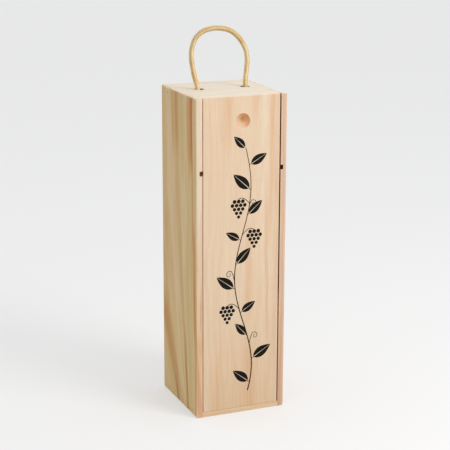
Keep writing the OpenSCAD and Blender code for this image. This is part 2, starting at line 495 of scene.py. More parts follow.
@dataclass(frozen=True)
class Streak:
    """A heartwood streak, in millimetres: foot and top of its middle line, and its reach there."""

    # Besides heartwood, one streak lays the lid's painted shade, darker towards its bottom.
    colour: Colour
    strength: float
    foot: Point
    top: Point
    foot_reach: Flat
    top_reach: Flat
    fade: float = 14.0
    flows: bool = True

    def lay(self, g: Graph, effects: WoodEffects, fringe: Sockets, share: Socket,
            colour: Socket) -> Socket:
        """Lays the streak over a board's colour.

        Args:
            g: The material's graph.
            effects: The shared shader groups.
            fringe: The fringe that the board's streaks share.
            share: How strongly streaks show at a place.
            colour: The board's colour.

        Returns:
            The new colour.
        """
        low, high, fade = metres((self.foot[2], self.top[2], self.fade))
        mask = g.group(effects.streak, {
            **{name: fringe[name] for name in ("Place", "Height", "Fringe")},
            "Foot": (*metres(self.foot[:2]), 0), "Top": (*metres(self.top[:2]), 0),
            "Reach at foot": (*metres(self.foot_reach), 1),
            "Reach at top": (*metres(self.top_reach), 1),
            "Low": low, "High": high, "Low start": low - fade, "Low end": low + fade,
            "High start": high - fade, "High end": high + fade})[0]
        strength = g.math("MULTIPLY", g.product(mask, share), self.strength, clamp=True)
        return g.mix(strength, colour, self.colour)


@dataclass(frozen=True)
class GrainFlow:
    """How a board's grain leans back and fans out with height, in millimetres."""

    pivot: float
    lean: float
    rise: float
    spread: float

    def bend(self, g: Graph, effects: WoodEffects, place: Socket) -> Socket:
        """The place on the board with its grain made upright."""
        return g.group(effects.flow, {
            "Vector": place, "Pivot": self.pivot * MM, "Lean": self.lean * MM,
            "Rise": self.rise * MM, "Spread": self.spread / MM})[0]


@dataclass(frozen=True)
class PaintedCutShade:
    """Painted shade on the walls where a cutter went: a slot through the sides, and round bores.

    Lengths are in millimetres. The slot is its low and high side and its reach from the middle.
    """

    colour: Colour
    slot: Point | None = None
    inner: float = 0.0
    bores: tuple[Flat, ...] = ()
    bore_radius: float = 5.25
    bore_strength: float = 0.9
    soft: float = 0.2
    inner_soft: float = 0.05

    def tint(self, g: Graph, place: Socket, colour: Socket) -> Socket:
        """Paints shade on the cut walls and returns the new colour.

        Args:
            g: The material's graph.
            place: The place on the board.
            colour: The wood's colour.

        Returns:
            The new colour.
        """
        x, y, z = g.split(place)
        soft = self.soft * MM
        if self.slot:
            low, high, reach = metres(self.slot)
            # Painted shade on the walls of the slot.
            out = g.math("ABSOLUTE", x)
            mask = g.product(g.step(z, low - soft, low), g.fall(z, high, high + soft),
                             g.fall(out, reach, reach + soft))
            if self.inner:
                mask = g.product(mask, g.step(out, self.inner * MM,
                                              (self.inner + self.inner_soft) * MM))
            colour = g.mix(mask, colour, self.colour)
        for bore in self.bores:
            # Painted shade on the walls of each bore.
            away = g.distance(*(g.math("SUBTRACT", a, b * MM) for a, b in zip((x, y), bore)))
            edge = self.bore_radius * MM
            mask = g.step(away, edge - soft / 2, edge + soft / 2, self.bore_strength, 0.0)
            colour = g.mix(mask, colour, self.colour)
        return colour


@dataclass(frozen=True)
class PaintedGapLightAndShade:
    """Painted light and shade on the narrow gap's walls beside the lid. Lengths are in
    millimetres.
    """

    colour: Colour
    strength: float
    plane: float
    back: float
    low_colour: Colour | None = None
    change: Flat = (123.0, 141.0)

    def tint(self, g: Graph, place: Socket, colour: Socket) -> Socket:
        """Paints light and shade on the walls of the gap.

        Args:
            g: The material's graph.
            place: The place on the board.
            colour: The wood's colour.

        Returns:
            The new colour.
        """
        x, y, z = g.split(place)
        off = g.math("ABSOLUTE", g.math("SUBTRACT", g.math("ABSOLUTE", x), self.plane * MM))
        # How strongly the painted light and shade show on the gap's walls.
        share = g.product(g.fall(off, 0.05 * MM, 0.3 * MM),
                          g.fall(y, self.back * MM, (self.back + 0.5) * MM), self.strength)
        tone = self.colour
        if self.low_colour:
            tone = g.mix(g.step(z, *metres(self.change)), self.low_colour, self.colour)
        return g.mix(share, colour, tone)


@dataclass(frozen=True)
class PineFinish:
    """Sanded bare pine. Lengths are in millimetres."""

    name: str
    early: Colour
    late: Colour
    shade: Colour
    pith: Flat
    ring_gap: float
    ring_strength: float
    wander: float
    seed: float
    axis: GrainAxis = GrainAxis.UPRIGHT
    streaks: tuple[Streak, ...] = ()
    # Painted light and shade on the walls of the gap beside the lid.
    gap: PaintedGapLightAndShade | None = None
    flow: GrainFlow | None = None
    # Painted shade on the walls of cuts.
    cuts: PaintedCutShade | None = None
    end: Colour | None = None
    tone_strength: float = 0.6
    end_strength: float = 0.9
    end_rings: float = 0.5
    edge_width: float = 0.9
    edge_strength: float = 0.22
    edge_light: float = 1.08
    fleck_strength: float = 0.5
    fibre_shade: Colour = (0.935, 0.921, 0.907)
    fibre_light: Colour = (0.13, 0.15, 0.17)
    roughness: Flat = (0.56, 0.68)
    specular: float = 0.25
    relief: Flat = (0.35, 0.08)

    def build(self, effects: WoodEffects, low: Vector, high: Vector,
              dish: "ThumbDish | None" = None) -> Material:
        """Makes the material for a board.

        Args:
            effects: The shared shader groups.
            low: The board's lowest corner, in metres.
            high: The board's highest corner.
            dish: The thumb dish in it, where it has one.

        Returns:
            The material.
        """
        material, g, shader = start_finish(self.name, {"Specular IOR Level": self.specular})
        where = g.add("ShaderNodeTexCoord").outputs
        place = where["Object"]
        flowed = self.flow.bend(g, effects, place) if self.flow else place
        turned = g.get("ShaderNodeMapping", {"Vector": flowed, "Rotation": self.axis.value})
        grain = effects.grow(g, turned, self.pith, self.ring_gap, self.wander,
                             self.seed)
        rings, fibres = grain["Rings"], grain["Fibres"]
        colour = g.mix(g.product(grain["Tone"], self.tone_strength), self.early, self.shade)
        colour = g.mix(g.product(rings, self.ring_strength), colour, self.late)
        colour = self._lay_streaks(g, effects, {True: flowed, False: place}, rings, colour)
        if self.end:
            sawn = g.step(g.math("ABSOLUTE", g.split(where["Normal"])[2]), 0.35, 0.8)
            colour = g.mix(g.product(sawn, self.end_strength), colour,
                           g.mix(g.product(rings, self.end_rings), self.end, self.late))
        edge = effects.wear(g, place, low, high, self.edge_width)
        colour = g.mix(g.product(edge, self.edge_strength), colour,
                       tuple(min(1.0, self.edge_light * c) for c in self.early))
        # The dish's deeper colour with its painted shade, the gap's painted light and shade, the
        # cuts' painted shade.
        for layer in (dish, self.gap, self.cuts):
            if layer:
                colour = layer.tint(g, place, colour)
        lit = [g.line(fibres, light, shade)
               for light, shade in zip(self.fibre_light, self.fibre_shade)]
        lit = g.get("ShaderNodeCombineColor", dict(enumerate(lit)))
        colour = g.mix(1.0, colour, lit, "MULTIPLY")
        colour = g.mix(g.product(grain["Flecks"], self.fleck_strength), colour, self.late)
        smoothest, roughest = self.roughness
        g.surface(shader, colour, g.line(fibres, roughest - smoothest, smoothest),
                  g.line(rings, 0.5, g.product(fibres, 0.5)), self.relief)
        return material

    def _lay_streaks(self, g: Graph, effects: WoodEffects, places: dict[bool, Socket],
                     rings: Socket, colour: Socket) -> Socket:
        """Lays the board's streaks, those that flow with the grain first.

        Args:
            g: The material's graph.
            effects: The shared shader groups.
            places: The place on the board, for streaks that flow and for those that don't.
            rings: How far the place is into a ring's late wood.
            colour: The wood's colour.

        Returns:
            The new colour.
        """
        for flows, place in places.items():
            streaks = [streak for streak in self.streaks if streak.flows == flows]
            if streaks:
                fringe = g.group(effects.fringe, {"Vector": place, "Seed": self.seed})
                share = g.product(g.line(rings, 0.25, 0.85), fringe["Lines"])
                for streak in streaks:
                    colour = streak.lay(g, effects, fringe, share, colour)
        return colour


@dataclass(frozen=True)
class PlywoodFinish:
    """Thin plywood, with its plies showing at the cut edges. Lengths are in millimetres."""

    face: Colour
    vein: Colour
    inner_ply: Colour
    burnt: Colour
    thickness: float
    pith: Flat = (190.0, 10.0)
    ring_gap: float = 1.6
    wander: float = 24.0
    seed: float = 61.0
    vein_strength: float = 0.6
    ply: tuple[Flat, Flat] = ((0.32, 0.36), (0.64, 0.68))
    ply_strength: float = 0.75
    edge_width: float = 0.6
    edge_strength: float = 0.4
    patch_scale: float = 260.0
    relief: Flat = (0.4, 0.08)

    def build(self, effects: WoodEffects, low: Vector, high: Vector) -> Material:
        """Makes the material for a plate.

        Args:
            effects: The shared shader groups.
            low: The plate's lowest corner, in metres.
            high: The plate's highest corner.

        Returns:
            The material.
        """
        material, g, shader = start_finish("neck rest plywood")
        where = g.add("ShaderNodeTexCoord").outputs
        place = where["Object"]
        turned = g.get("ShaderNodeMapping", {"Vector": place,
                                             "Rotation": GrainAxis.SIDEWAYS.value})
        grain = effects.grow(g, turned, self.pith, self.ring_gap, self.wander,
                             self.seed)
        colour = g.mix(g.product(grain["Rings"], self.vein_strength), self.face, self.vein)
        level = g.math("DIVIDE", g.math("SUBTRACT", g.split(place)[2], low.z),
                       self.thickness * MM)
        under, over = self.ply
        inner = g.product(g.step(level, *under), g.fall(level, *over), self.ply_strength)
        colour = g.mix(inner, colour, self.inner_ply)
        edge = effects.wear(g, place, low, high, self.edge_width)
        colour = g.mix(g.product(edge, self.edge_strength), colour, self.vein)
        upright = g.fall(g.math("ABSOLUTE", g.split(where["Normal"])[2]), 0.3, 0.8)
        patches = g.noise(place, self.patch_scale, 3, 0.6, 8.0)[0]
        patchy = g.line(patches, 0.3, 0.72)
        burn = g.math("MULTIPLY", upright, patchy, clamp=True)
        colour = g.mix(burn, colour, self.burnt)
        fibres = grain["Fibres"]
        g.surface(shader, colour, g.line(fibres, 0.14, 0.6), fibres, self.relief)
        return material


@dataclass(frozen=True)
class CordFinish:
    """Undyed braided yarn, shade painted in its hollows. It reads the run and turn on each strand.
    """

    yarn: Colour
    warm: Colour
    # The colour of the painted shade in the braid's hollows and ply grooves.
    hollow: Colour
    handled: Colour
    grip: Flat = (385.0, 408.0)
    grip_strength: float = 0.3
    twist: float = 5200.0
    twist_shade_strength: float = 0.3
    hollow_shade_strength: float = 0.9
    fuzz_scale: float = 3800.0
    blotch_scale: float = 60.0
    relief: Flat = (0.5, 0.12)

    def build(self) -> Material:
        """Makes the rope's material."""
        material, g, shader = start_finish("braided yarn", {
            "Sheen Weight": 0.25, "Sheen Roughness": 0.5, "Specular IOR Level": 0.2})
        run, turn, lift = (
            g.add("ShaderNodeAttribute", attribute_name=name).outputs["Fac"]
            for name in ("strand_run", "strand_turn", "strand_lift"))
        place = g.add("ShaderNodeTexCoord").outputs["Object"]
        ply = g.math("SINE", g.line(run, self.twist, g.product(turn, 4 * math.pi)))
        fuzz = g.noise(place, self.fuzz_scale, 3, 0.65, 9.0)[0]
        blotch = g.noise(place, self.blotch_scale, 3, 0.6, 5.0)[0]
        colour = g.mix(g.step(blotch, 0.4, 0.68), self.yarn, self.warm)
        # Painted shade: strands lying low in the braid, and the troughs of each ply's twist, take
        # the hollow colour.
        colour = g.mix(g.step(lift, -0.85, 0.7, self.hollow_shade_strength, 0.0), colour, self.hollow)
        colour = g.mix(g.product(g.step(ply, 0.1, -1.0), self.twist_shade_strength), colour,
                       self.hollow)
        grip = g.step(g.split(place)[2], *metres(self.grip))
        colour = g.mix(g.product(grip, self.grip_strength), colour, self.handled)
        g.surface(shader, colour, g.line(fuzz, 0.2, 0.68), g.line(ply, 0.35, fuzz),
                  self.relief)
        return material


@dataclass(frozen=True)
class SteelFinish:
    """Dull steel of the brads, browned in patches."""

    name: str
    steel: Colour
    rust: Colour
    spot_scale: float = 1400.0
    mark_scale: float = 5200.0
    relief: Flat = (0.4, 0.03)

    def build(self) -> Material:
        """Makes the brads' material."""
        material, g, shader = start_finish(self.name)
        place = g.add("ShaderNodeTexCoord").outputs["Object"]
        spots = g.step(g.noise(place, self.spot_scale, 4, 0.6, 2.0)[0], 0.42, 0.62)
        marks = g.noise(place, self.mark_scale, 2, 0.5, 4.0)[0]
        g.feed(shader.inputs["Metallic"], g.line(spots, -0.7, 0.9))
        g.surface(shader, g.mix(spots, self.steel, self.rust), g.line(marks, 0.3, 0.35), marks,
                  self.relief)
        return material


@dataclass(frozen=True)
class InkFinish:
    """Matt black ink, a little thin where the grain drinks it in. Lengths are in millimetres."""

    ink: Colour
    thin: Colour
    pith: Flat = (4.0, 50.0)
    ring_gap: float = 2.6
    wander: float = 12.0
    seed: float = 3.0
    thin_share: float = 0.35
    specular: float = 0.2
    relief: Flat = (0.3, 0.04)

    def build(self, effects: WoodEffects) -> Material:
        """Makes the print's material.

        Args:
            effects: The shared shader groups.

        Returns:
            The material.
        """
        material, g, shader = start_finish("printing ink", {"Specular IOR Level": self.specular})
        place = g.add("ShaderNodeTexCoord").outputs["Object"]
        fibres = effects.grow(g, place, self.pith, self.ring_gap, self.wander,
                              self.seed)["Fibres"]
        share = g.product(g.step(fibres, 0.55, 0.95), self.thin_share)
        g.surface(shader, g.mix(share, self.ink, self.thin), g.line(fibres, 0.2, 0.6), fibres,
                  self.relief)
        return material


# ---- Meshes ----


def new_object(name: str, data: bpy.types.ID) -> Object:
    """Puts a mesh, a lamp or a camera into the scene as an object at the origin."""
    made = bpy.data.objects.new(name, data)
    bpy.context.scene.collection.objects.link(made)
    return made


def band(base: int, count: int) -> Faces:
    """The faces between a ring of points and the next one, from its first point's number."""
    return [(base + k, base + (k + 1) % count, base + count + (k + 1) % count, base + count + k)
            for k in range(count)]


def prism(base: int, count: int) -> Faces:
    """The faces of a closed prism whose two outlines follow one another from a point."""
    return [tuple(range(base, base + count)), tuple(range(base + count, base + 2 * count)),
            *band(base, count)]


def lathe(profile: list[Flat], sides: int) -> list[Point]:
    """The points of a shape turned round Z, ring by ring.

    Args:
        profile: Its distance along the axis and its radius there, in millimetres.
        sides: How many sides it has.

    Returns:
        The points, in metres.
    """
    return [(radius * MM * math.cos(2 * math.pi * k / sides),
             radius * MM * math.sin(2 * math.pi * k / sides), along * MM)
            for along, radius in profile for k in range(sides)]


def mesh_of(name: str, points: list, faces: Faces, merge: float = 1e-7,
            collapse: bool = False) -> Mesh:
    """Makes a mesh with its doubles merged and its faces pointing outwards.

    Args:
        name: The mesh's name.
        points: Its points, in metres.
        faces: The numbers of each face's points.
        merge: How close points are merged, in metres.
        collapse: Whether faces without area are taken out.

    Returns:
        The mesh.
    """
    mesh = bpy.data.meshes.new(name)
    mesh.from_pydata([tuple(p) for p in points], [], faces)
    work = bmesh.new()
    work.from_mesh(mesh)
    bmesh.ops.remove_doubles(work, verts=work.verts, dist=merge)
    if collapse:
        bmesh.ops.dissolve_degenerate(work, edges=work.edges, dist=1e-7)
    bmesh.ops.recalc_face_normals(work, faces=work.faces)
    work.to_mesh(mesh)
    work.free()
    return mesh


def settle(piece: Object) -> None:
    """Turns a piece's modifiers into plain mesh.

    Args:
        piece: The piece.
    """
    graph = bpy.context.evaluated_depsgraph_get()
    mesh = bpy.data.meshes.new_from_object(piece.evaluated_get(graph))
    piece.modifiers.clear()
    piece.data = mesh


def smooth(piece: Object, angle: float = 40.0) -> None:
    """Shades a piece smooth, with its flats kept flat.

    Args:
        piece: The piece.
        angle: The angle past which an edge stays sharp, in degrees.
    """
    piece.data.shade_smooth()
    piece.data.set_sharp_from_angle(angle=math.radians(angle))
    weighted = piece.modifiers.new("weighted", "WEIGHTED_NORMAL")
    weighted.keep_sharp, weighted.weight = True, 100
    settle(piece)


def dress(piece: Object, finish: Material, node: str,
          body: str) -> None:
    """Shades a wooden piece and sets it in place of its plain solid.

    Args:
        piece: The piece.
        finish: Its material.
        node: The solid that it replaces.
        body: The body that it rides on.
    """
    smooth(piece)
    piece.data.materials.clear()
    piece.data.materials.append(finish)
    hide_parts(node)
    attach(piece, body)
    LOG.info("%s, %d faces", piece.name, len(piece.data.polygons))


@dataclass(frozen=True)
class Corner:
    """One corner of a board's section, in millimetres, with the radius that softens it."""

    across: float
    along: float
    radius: float = 0.4


class LoftAxis(Enum):
    """The axis that a section is drawn out along, as the places of its two own axes."""

    UP = (0, 1, 2)
    SIDEWAYS = (1, 2, 0)


@dataclass(frozen=True)
class Section:
    """A closed section with softened corners that is drawn out into a board."""

    corners: tuple[Corner, ...]
    axis: LoftAxis
    steps: int = 4
    end_steps: int = 6

    def outline(self, inset: float = 0.0) -> np.ndarray:
        """The section's points in millimetres, with its sides moved inwards.

        Args:
            inset: How far the sides move in. An outer corner that is rounded less turns sharp.

        Returns:
            The points.
        """
        points = []
        spots = [np.array((c.across, c.along), float) for c in self.corners]
        area = sum(a[0] * b[1] - b[0] * a[1] for a, b in zip(spots, spots[1:] + spots[:1]))
        for number, corner in enumerate(self.corners):
            here = spots[number]
            back = spots[number - 1] - here
            ahead = spots[(number + 1) % len(spots)] - here
            back, ahead = back / np.linalg.norm(back), ahead / np.linalg.norm(ahead)
            radius = corner.radius
            turn = back[0] * ahead[1] - back[1] * ahead[0]
            if (turn < 0) == (area > 0):
                middle = here + max(radius, inset) * (back + ahead)
                radius = max(radius - inset, 0.0)
            else:
                middle = here + radius * (back + ahead)
                radius += inset
            for step in range(self.steps + 1):
                angle = 0.5 * math.pi * step / self.steps
                points.append(middle - radius * (math.cos(angle) * ahead
                                                 + math.sin(angle) * back))
        return np.array(points)

    def draw(self, name: str, low: float, high: float, end_radius: float = 0.4,
             side: float | None = None, side_radius: float = 0.0) -> Object:
        """Draws the section out, with softened ends.

        Args:
            name: The object's name.
            low: Where the board starts, in millimetres.
            high: Where it ends.
            end_radius: The radius round both ends.
            side: The place of a side, on the section's first axis, that is rounded more.
            side_radius: The radius at that side's ends.

        Returns:
            The board.
        """
        depths = {0.0}
        for radius in (end_radius, side_radius):
            depths |= {round(radius * (1 - math.cos(0.5 * math.pi * s / self.end_steps)), 5)
                       for s in range(self.end_steps + 1)}
        depths = sorted(depths)
        levels = [(low + d, d) for d in depths] + [(high - d, d) for d in reversed(depths)]
        rings = []
        for height, depth in levels:
            ring = self.outline(self._inset(depth, end_radius))
            if side is not None:
                cut = side - math.copysign(self._inset(depth, side_radius), side)
                ring[:, 0] = (np.minimum if side > 0 else np.maximum)(ring[:, 0], cut)
            rings.append([self._place(p, height) for p in ring])
        count = len(rings[0])
        faces = [tuple(range(count)), tuple(range((len(rings) - 1) * count, len(rings) * count))]
        for level in range(len(rings) - 1):
            faces += band(level * count, count)
        return new_object(name, mesh_of(name, [p for ring in rings for p in ring], faces))

    @staticmethod
    def _inset(depth: float, radius: float) -> float:
        """How far a rounded end stands back at a depth below its end."""
        if depth >= radius or radius <= 0:
            return 0.0
        return radius - math.sqrt(radius ** 2 - (radius - depth) ** 2)

    def _place(self, spot: np.ndarray, along: float) -> list[float]:
        """Places one point of the section.

        Args:
            spot: The point in the section, in millimetres.
            along: How far along the board it is.

        Returns:
            The point in space, in metres.
        """
        where = [0.0, 0.0, 0.0]
        for axis, length in zip(self.axis.value, metres((*spot, along))):
            where[axis] = length
        return where


class Cutters:
    """Shapes that are cut out of a board together. Lengths are in millimetres."""

    def __init__(self) -> None:
        """Starts with nothing to cut."""
        self.work = bmesh.new()

    def _add(self, points: list, faces: Faces) -> None:
        """Adds a closed shape, in metres."""
        made = [self.work.verts.new(p) for p in points]
        for face in faces:
            self.work.faces.new([made[i] for i in face])

    def slot(self, low: Point, high: Point) -> None:
        """Adds a square slot.

        Args:
            low: Its lowest corner.
            high: Its highest corner.
        """
        self._add([[MM * (a, b)[bit] for a, b, bit in zip(low, high, bits)]
                   for bits in np.ndindex(2, 2, 2)],
                  [(0, 1, 3, 2), (4, 6, 7, 5), (0, 4, 5, 1), (2, 3, 7, 6), (0, 2, 6, 4),
                   (1, 5, 7, 3)])

    def bore(self, place: Point, way: Point, profile: list[Flat], sides: int) -> None:
        """Adds a turned cutter.

        Args:
            place: Where its axis starts.
            way: The direction in which it goes.
            profile: Its distance along the axis and its radius there, from one end to the other.
            sides: How many sides it has.
        """
        turn = Vector((0, 0, 1)).rotation_difference(Vector(way)).to_matrix().to_4x4()
        turn = Matrix.Translation(Vector(place) * MM) @ turn
        last = (len(profile) - 1) * sides
        faces = [face for base in range(0, last, sides) for face in band(base, sides)]
        faces += [tuple(reversed(range(sides))), tuple(range(last, last + sides))]
        self._add([turn @ Vector(p) for p in lathe(profile, sides)], faces)

    def ball(self, middle: Point, radius: float, sides: int = 96) -> None:
        """Adds a ball."""
        bmesh.ops.create_uvsphere(
            self.work, u_segments=sides, v_segments=sides, radius=radius * MM,
            matrix=Matrix.Translation(Vector(middle) * MM) @ Matrix.Rotation(math.pi / 2, 4, "X"))

    def cut(self, board: Object) -> None:
        """Cuts the shapes out of a board, and leaves nothing of them.

        Args:
            board: The board.
        """
        bmesh.ops.recalc_face_normals(self.work, faces=self.work.faces)
        mesh = bpy.data.meshes.new("cutters")
        self.work.to_mesh(mesh)
        self.work.free()
        cutter = new_object("cutters", mesh)
        modifier = board.modifiers.new("cut", "BOOLEAN")
        modifier.operation, modifier.solver, modifier.object = "DIFFERENCE", "EXACT", cutter
        settle(board)
        bpy.data.objects.remove(cutter)
        bpy.data.meshes.remove(mesh)


# ---- Geometry Nodes ----


class Braider:
    """Braids strands round a core, half of them each way round, over and under."""

    core_sides: int = 12
    strand_sides: int = 8
    rib_lag: float = 0.4
    rib_share: float = 0.6

    def __init__(self) -> None:
        """Builds the tree once."""
        g, given, out = new_group(
            "Round braid",
            {"Geometry": "Geometry", "Strands": "Int", "Strand radius": "Float",
             "Braid radius": "Float", "Weave depth": "Float", "Rib depth": "Float",
             "Lead": "Float", "Step": "Float", "Core radius": "Float", "Finish": "Material"},
            {"Geometry": "Geometry"}, "GeometryNodeTree")
        g.tree.is_modifier = True
        self.tree = g.tree
        path = g.get("GeometryNodeMeshToCurve", {0: given["Geometry"]})
        path = g.get("GeometryNodeResampleCurve", {
            "Curve": path, "Length": given["Step"]}, mode="LENGTH")
        pieces = [self._strands(g, given, path, way) for way in (1, -1)]
        ring = g.get("GeometryNodeCurvePrimitiveCircle", {
            "Resolution": self.core_sides, "Radius": given["Core radius"]})
        core = g.get("GeometryNodeCurveToMesh", {
            "Curve": path, "Profile Curve": ring, "Fill Caps": True})
        # The core lies lowest, so the yarn gives it the hollows' painted shade.
        core = self._keep(g, core, "strand_lift", -1.0)
        joined = g.add("GeometryNodeJoinGeometry")
        for piece in (*pieces, core):
            g.tree.links.new(piece, joined.inputs[0])
        real = g.get("GeometryNodeRealizeInstances", {0: joined.outputs[0]})
        real = g.get("GeometryNodeSetShadeSmooth", {"Geometry": real})
        real = g.get("GeometryNodeSetMaterial", {
            "Geometry": real, "Material": given["Finish"]})
        g.feed(out[0], real)

    @staticmethod
    def _keep(g: Graph, geometry: Socket, name: str, value: object) -> Socket:
        """Keeps a value on the points of a geometry under a name."""
        return g.get("GeometryNodeStoreNamedAttribute", {
            "Geometry": geometry, "Name": name, "Value": value}, data_type="FLOAT",
            domain="POINT")

    def _strands(self, g: Graph, given: Sockets, path: Socket, way: int) -> Socket:
        """The strands that go one way round.

        Args:
            g: The tree's graph.
            given: What is given to the tree.
            path: The curve that they follow.
            way: 1 or -1, the way round.

        Returns:
            The strands' mesh.
        """
        half = g.math("DIVIDE", given["Strands"], 2.0)
        copies = g.add("GeometryNodeDuplicateElements", {
            "Geometry": path, "Amount": half}, domain="SPLINE")
        number = copies.outputs["Duplicate Index"]
        run = g.add("GeometryNodeSplineParameter").outputs["Length"]
        turns = g.math("DIVIDE", run, given["Lead"])
        angle = g.line(turns, 2 * math.pi * way,
                       g.product(g.math("DIVIDE", number, half), 2 * math.pi))
        crossing = g.product(turns, half, 2.0)
        over = g.math("COSINE", g.product(crossing, math.pi))
        lift = g.product(over, float(way))
        rib = g.math("COSINE", g.line(crossing, math.pi, self.rib_lag))
        radius = g.line(lift, given["Weave depth"], given["Braid radius"])
        radius = g.line(rib, given["Rib depth"], radius)
        normal = g.get("GeometryNodeInputNormal")
        tangent = g.get("GeometryNodeInputTangent")
        across = g.vector("CROSS_PRODUCT", tangent, normal)
        offset = g.vector(
            "ADD", g.scaled(normal, g.product(radius, g.math("COSINE", angle))),
            g.scaled(across, g.product(radius, g.math("SINE", angle))))
        strands = self._keep(g, copies.outputs[0], "strand_run", run)
        strands = self._keep(g, strands, "strand_lift",
                             g.line(rib, self.rib_share,
                                    g.product(lift, 1 - self.rib_share)))
        strands = g.get("GeometryNodeSetPosition", {
            "Geometry": strands, "Offset": offset})
        ring = g.get("GeometryNodeCurvePrimitiveCircle", {
            "Resolution": self.strand_sides, "Radius": given["Strand radius"]})
        ring = self._keep(g, ring, "strand_turn",
                          g.add("GeometryNodeSplineParameter").outputs["Factor"])
        return g.get("GeometryNodeCurveToMesh", {
            "Curve": strands, "Profile Curve": ring, "Fill Caps": True})

    def braid(self, name: str, route: np.ndarray, sizes: dict[str, object]) -> Object:
        """Braids along a route.

        Args:
            name: The piece's name.
            route: The path's points, in metres.
            sizes: The tree's inputs, by name.

        Returns:
            The braid as a plain mesh.
        """
        mesh = bpy.data.meshes.new(name)
        mesh.from_pydata([tuple(p) for p in route],
                         [(i, i + 1) for i in range(len(route) - 1)], [])
        piece = new_object(name, mesh)
        apply_tree(piece, self.tree, sizes)
        return piece


class Repeater:
    """Sets copies of one piece out on points that carry a turn and a size."""

    def __init__(self) -> None:
        """Builds the tree once."""
        g, given, out = new_group(
            "Set out copies",
            {"Geometry": "Geometry", "Piece": "Object", "Finish": "Material"},
            {"Geometry": "Geometry"}, "GeometryNodeTree")
        g.tree.is_modifier = True
        self.tree = g.tree
        piece = g.add("GeometryNodeObjectInfo", {"Object": given["Piece"]})
        turn = g.get("GeometryNodeInputNamedAttribute", {"Name": "turn"},
                     data_type="FLOAT_VECTOR")
        size = g.get("GeometryNodeInputNamedAttribute", {"Name": "size"},
                     data_type="FLOAT")
        turn = g.get("FunctionNodeEulerToRotation", {0: turn})
        placed = g.get("GeometryNodeInstanceOnPoints", {
            "Points": given["Geometry"], "Instance": piece.outputs["Geometry"],
            "Rotation": turn, "Scale": size})
        real = g.get("GeometryNodeRealizeInstances", {0: placed})
        real = g.get("GeometryNodeSetMaterial", {
            "Geometry": real, "Material": given["Finish"]})
        g.feed(out[0], real)

    def set_out(self, name: str, piece: Mesh, places: list[Point],
                turns: list[Point], sizes: list[float],
                finish: Material) -> Object:
        """Sets copies out.

        Args:
            name: The new piece's name.
            piece: The mesh that is repeated.
            places: Where each copy goes, in metres.
            turns: How each is turned, as Euler angles.
            sizes: How large each is.
            finish: The copies' material.

        Returns:
            All copies as one plain mesh.
        """
        mesh = bpy.data.meshes.new(name)
        mesh.from_pydata(places, [], [])
        turned = mesh.attributes.new("turn", "FLOAT_VECTOR", "POINT")
        turned.data.foreach_set("vector", [v for turn in turns for v in turn])
        mesh.attributes.new("size", "FLOAT", "POINT").data.foreach_set("value", sizes)
        copies = new_object(name, mesh)
        pattern = new_object("pattern", piece)
        apply_tree(copies, self.tree, {"Piece": pattern, "Finish": finish})
        bpy.data.objects.remove(pattern)
        return copies


def apply_tree(piece: Object, tree: NodeTree,
               values: dict[str, object]) -> None:
    """Runs a geometry tree on a piece and keeps the result as plain mesh.

    Args:
        piece: The object.
        tree: The tree.
        values: The tree's inputs, by name.
    """
    modifier = piece.modifiers.new(tree.name, "NODES")
    modifier.node_group = tree
    for item in tree.interface.items_tree:
        if item.in_out == "INPUT" and item.name in values:
            modifier[item.identifier] = values[item.name]
    settle(piece)


# ---- The room ----


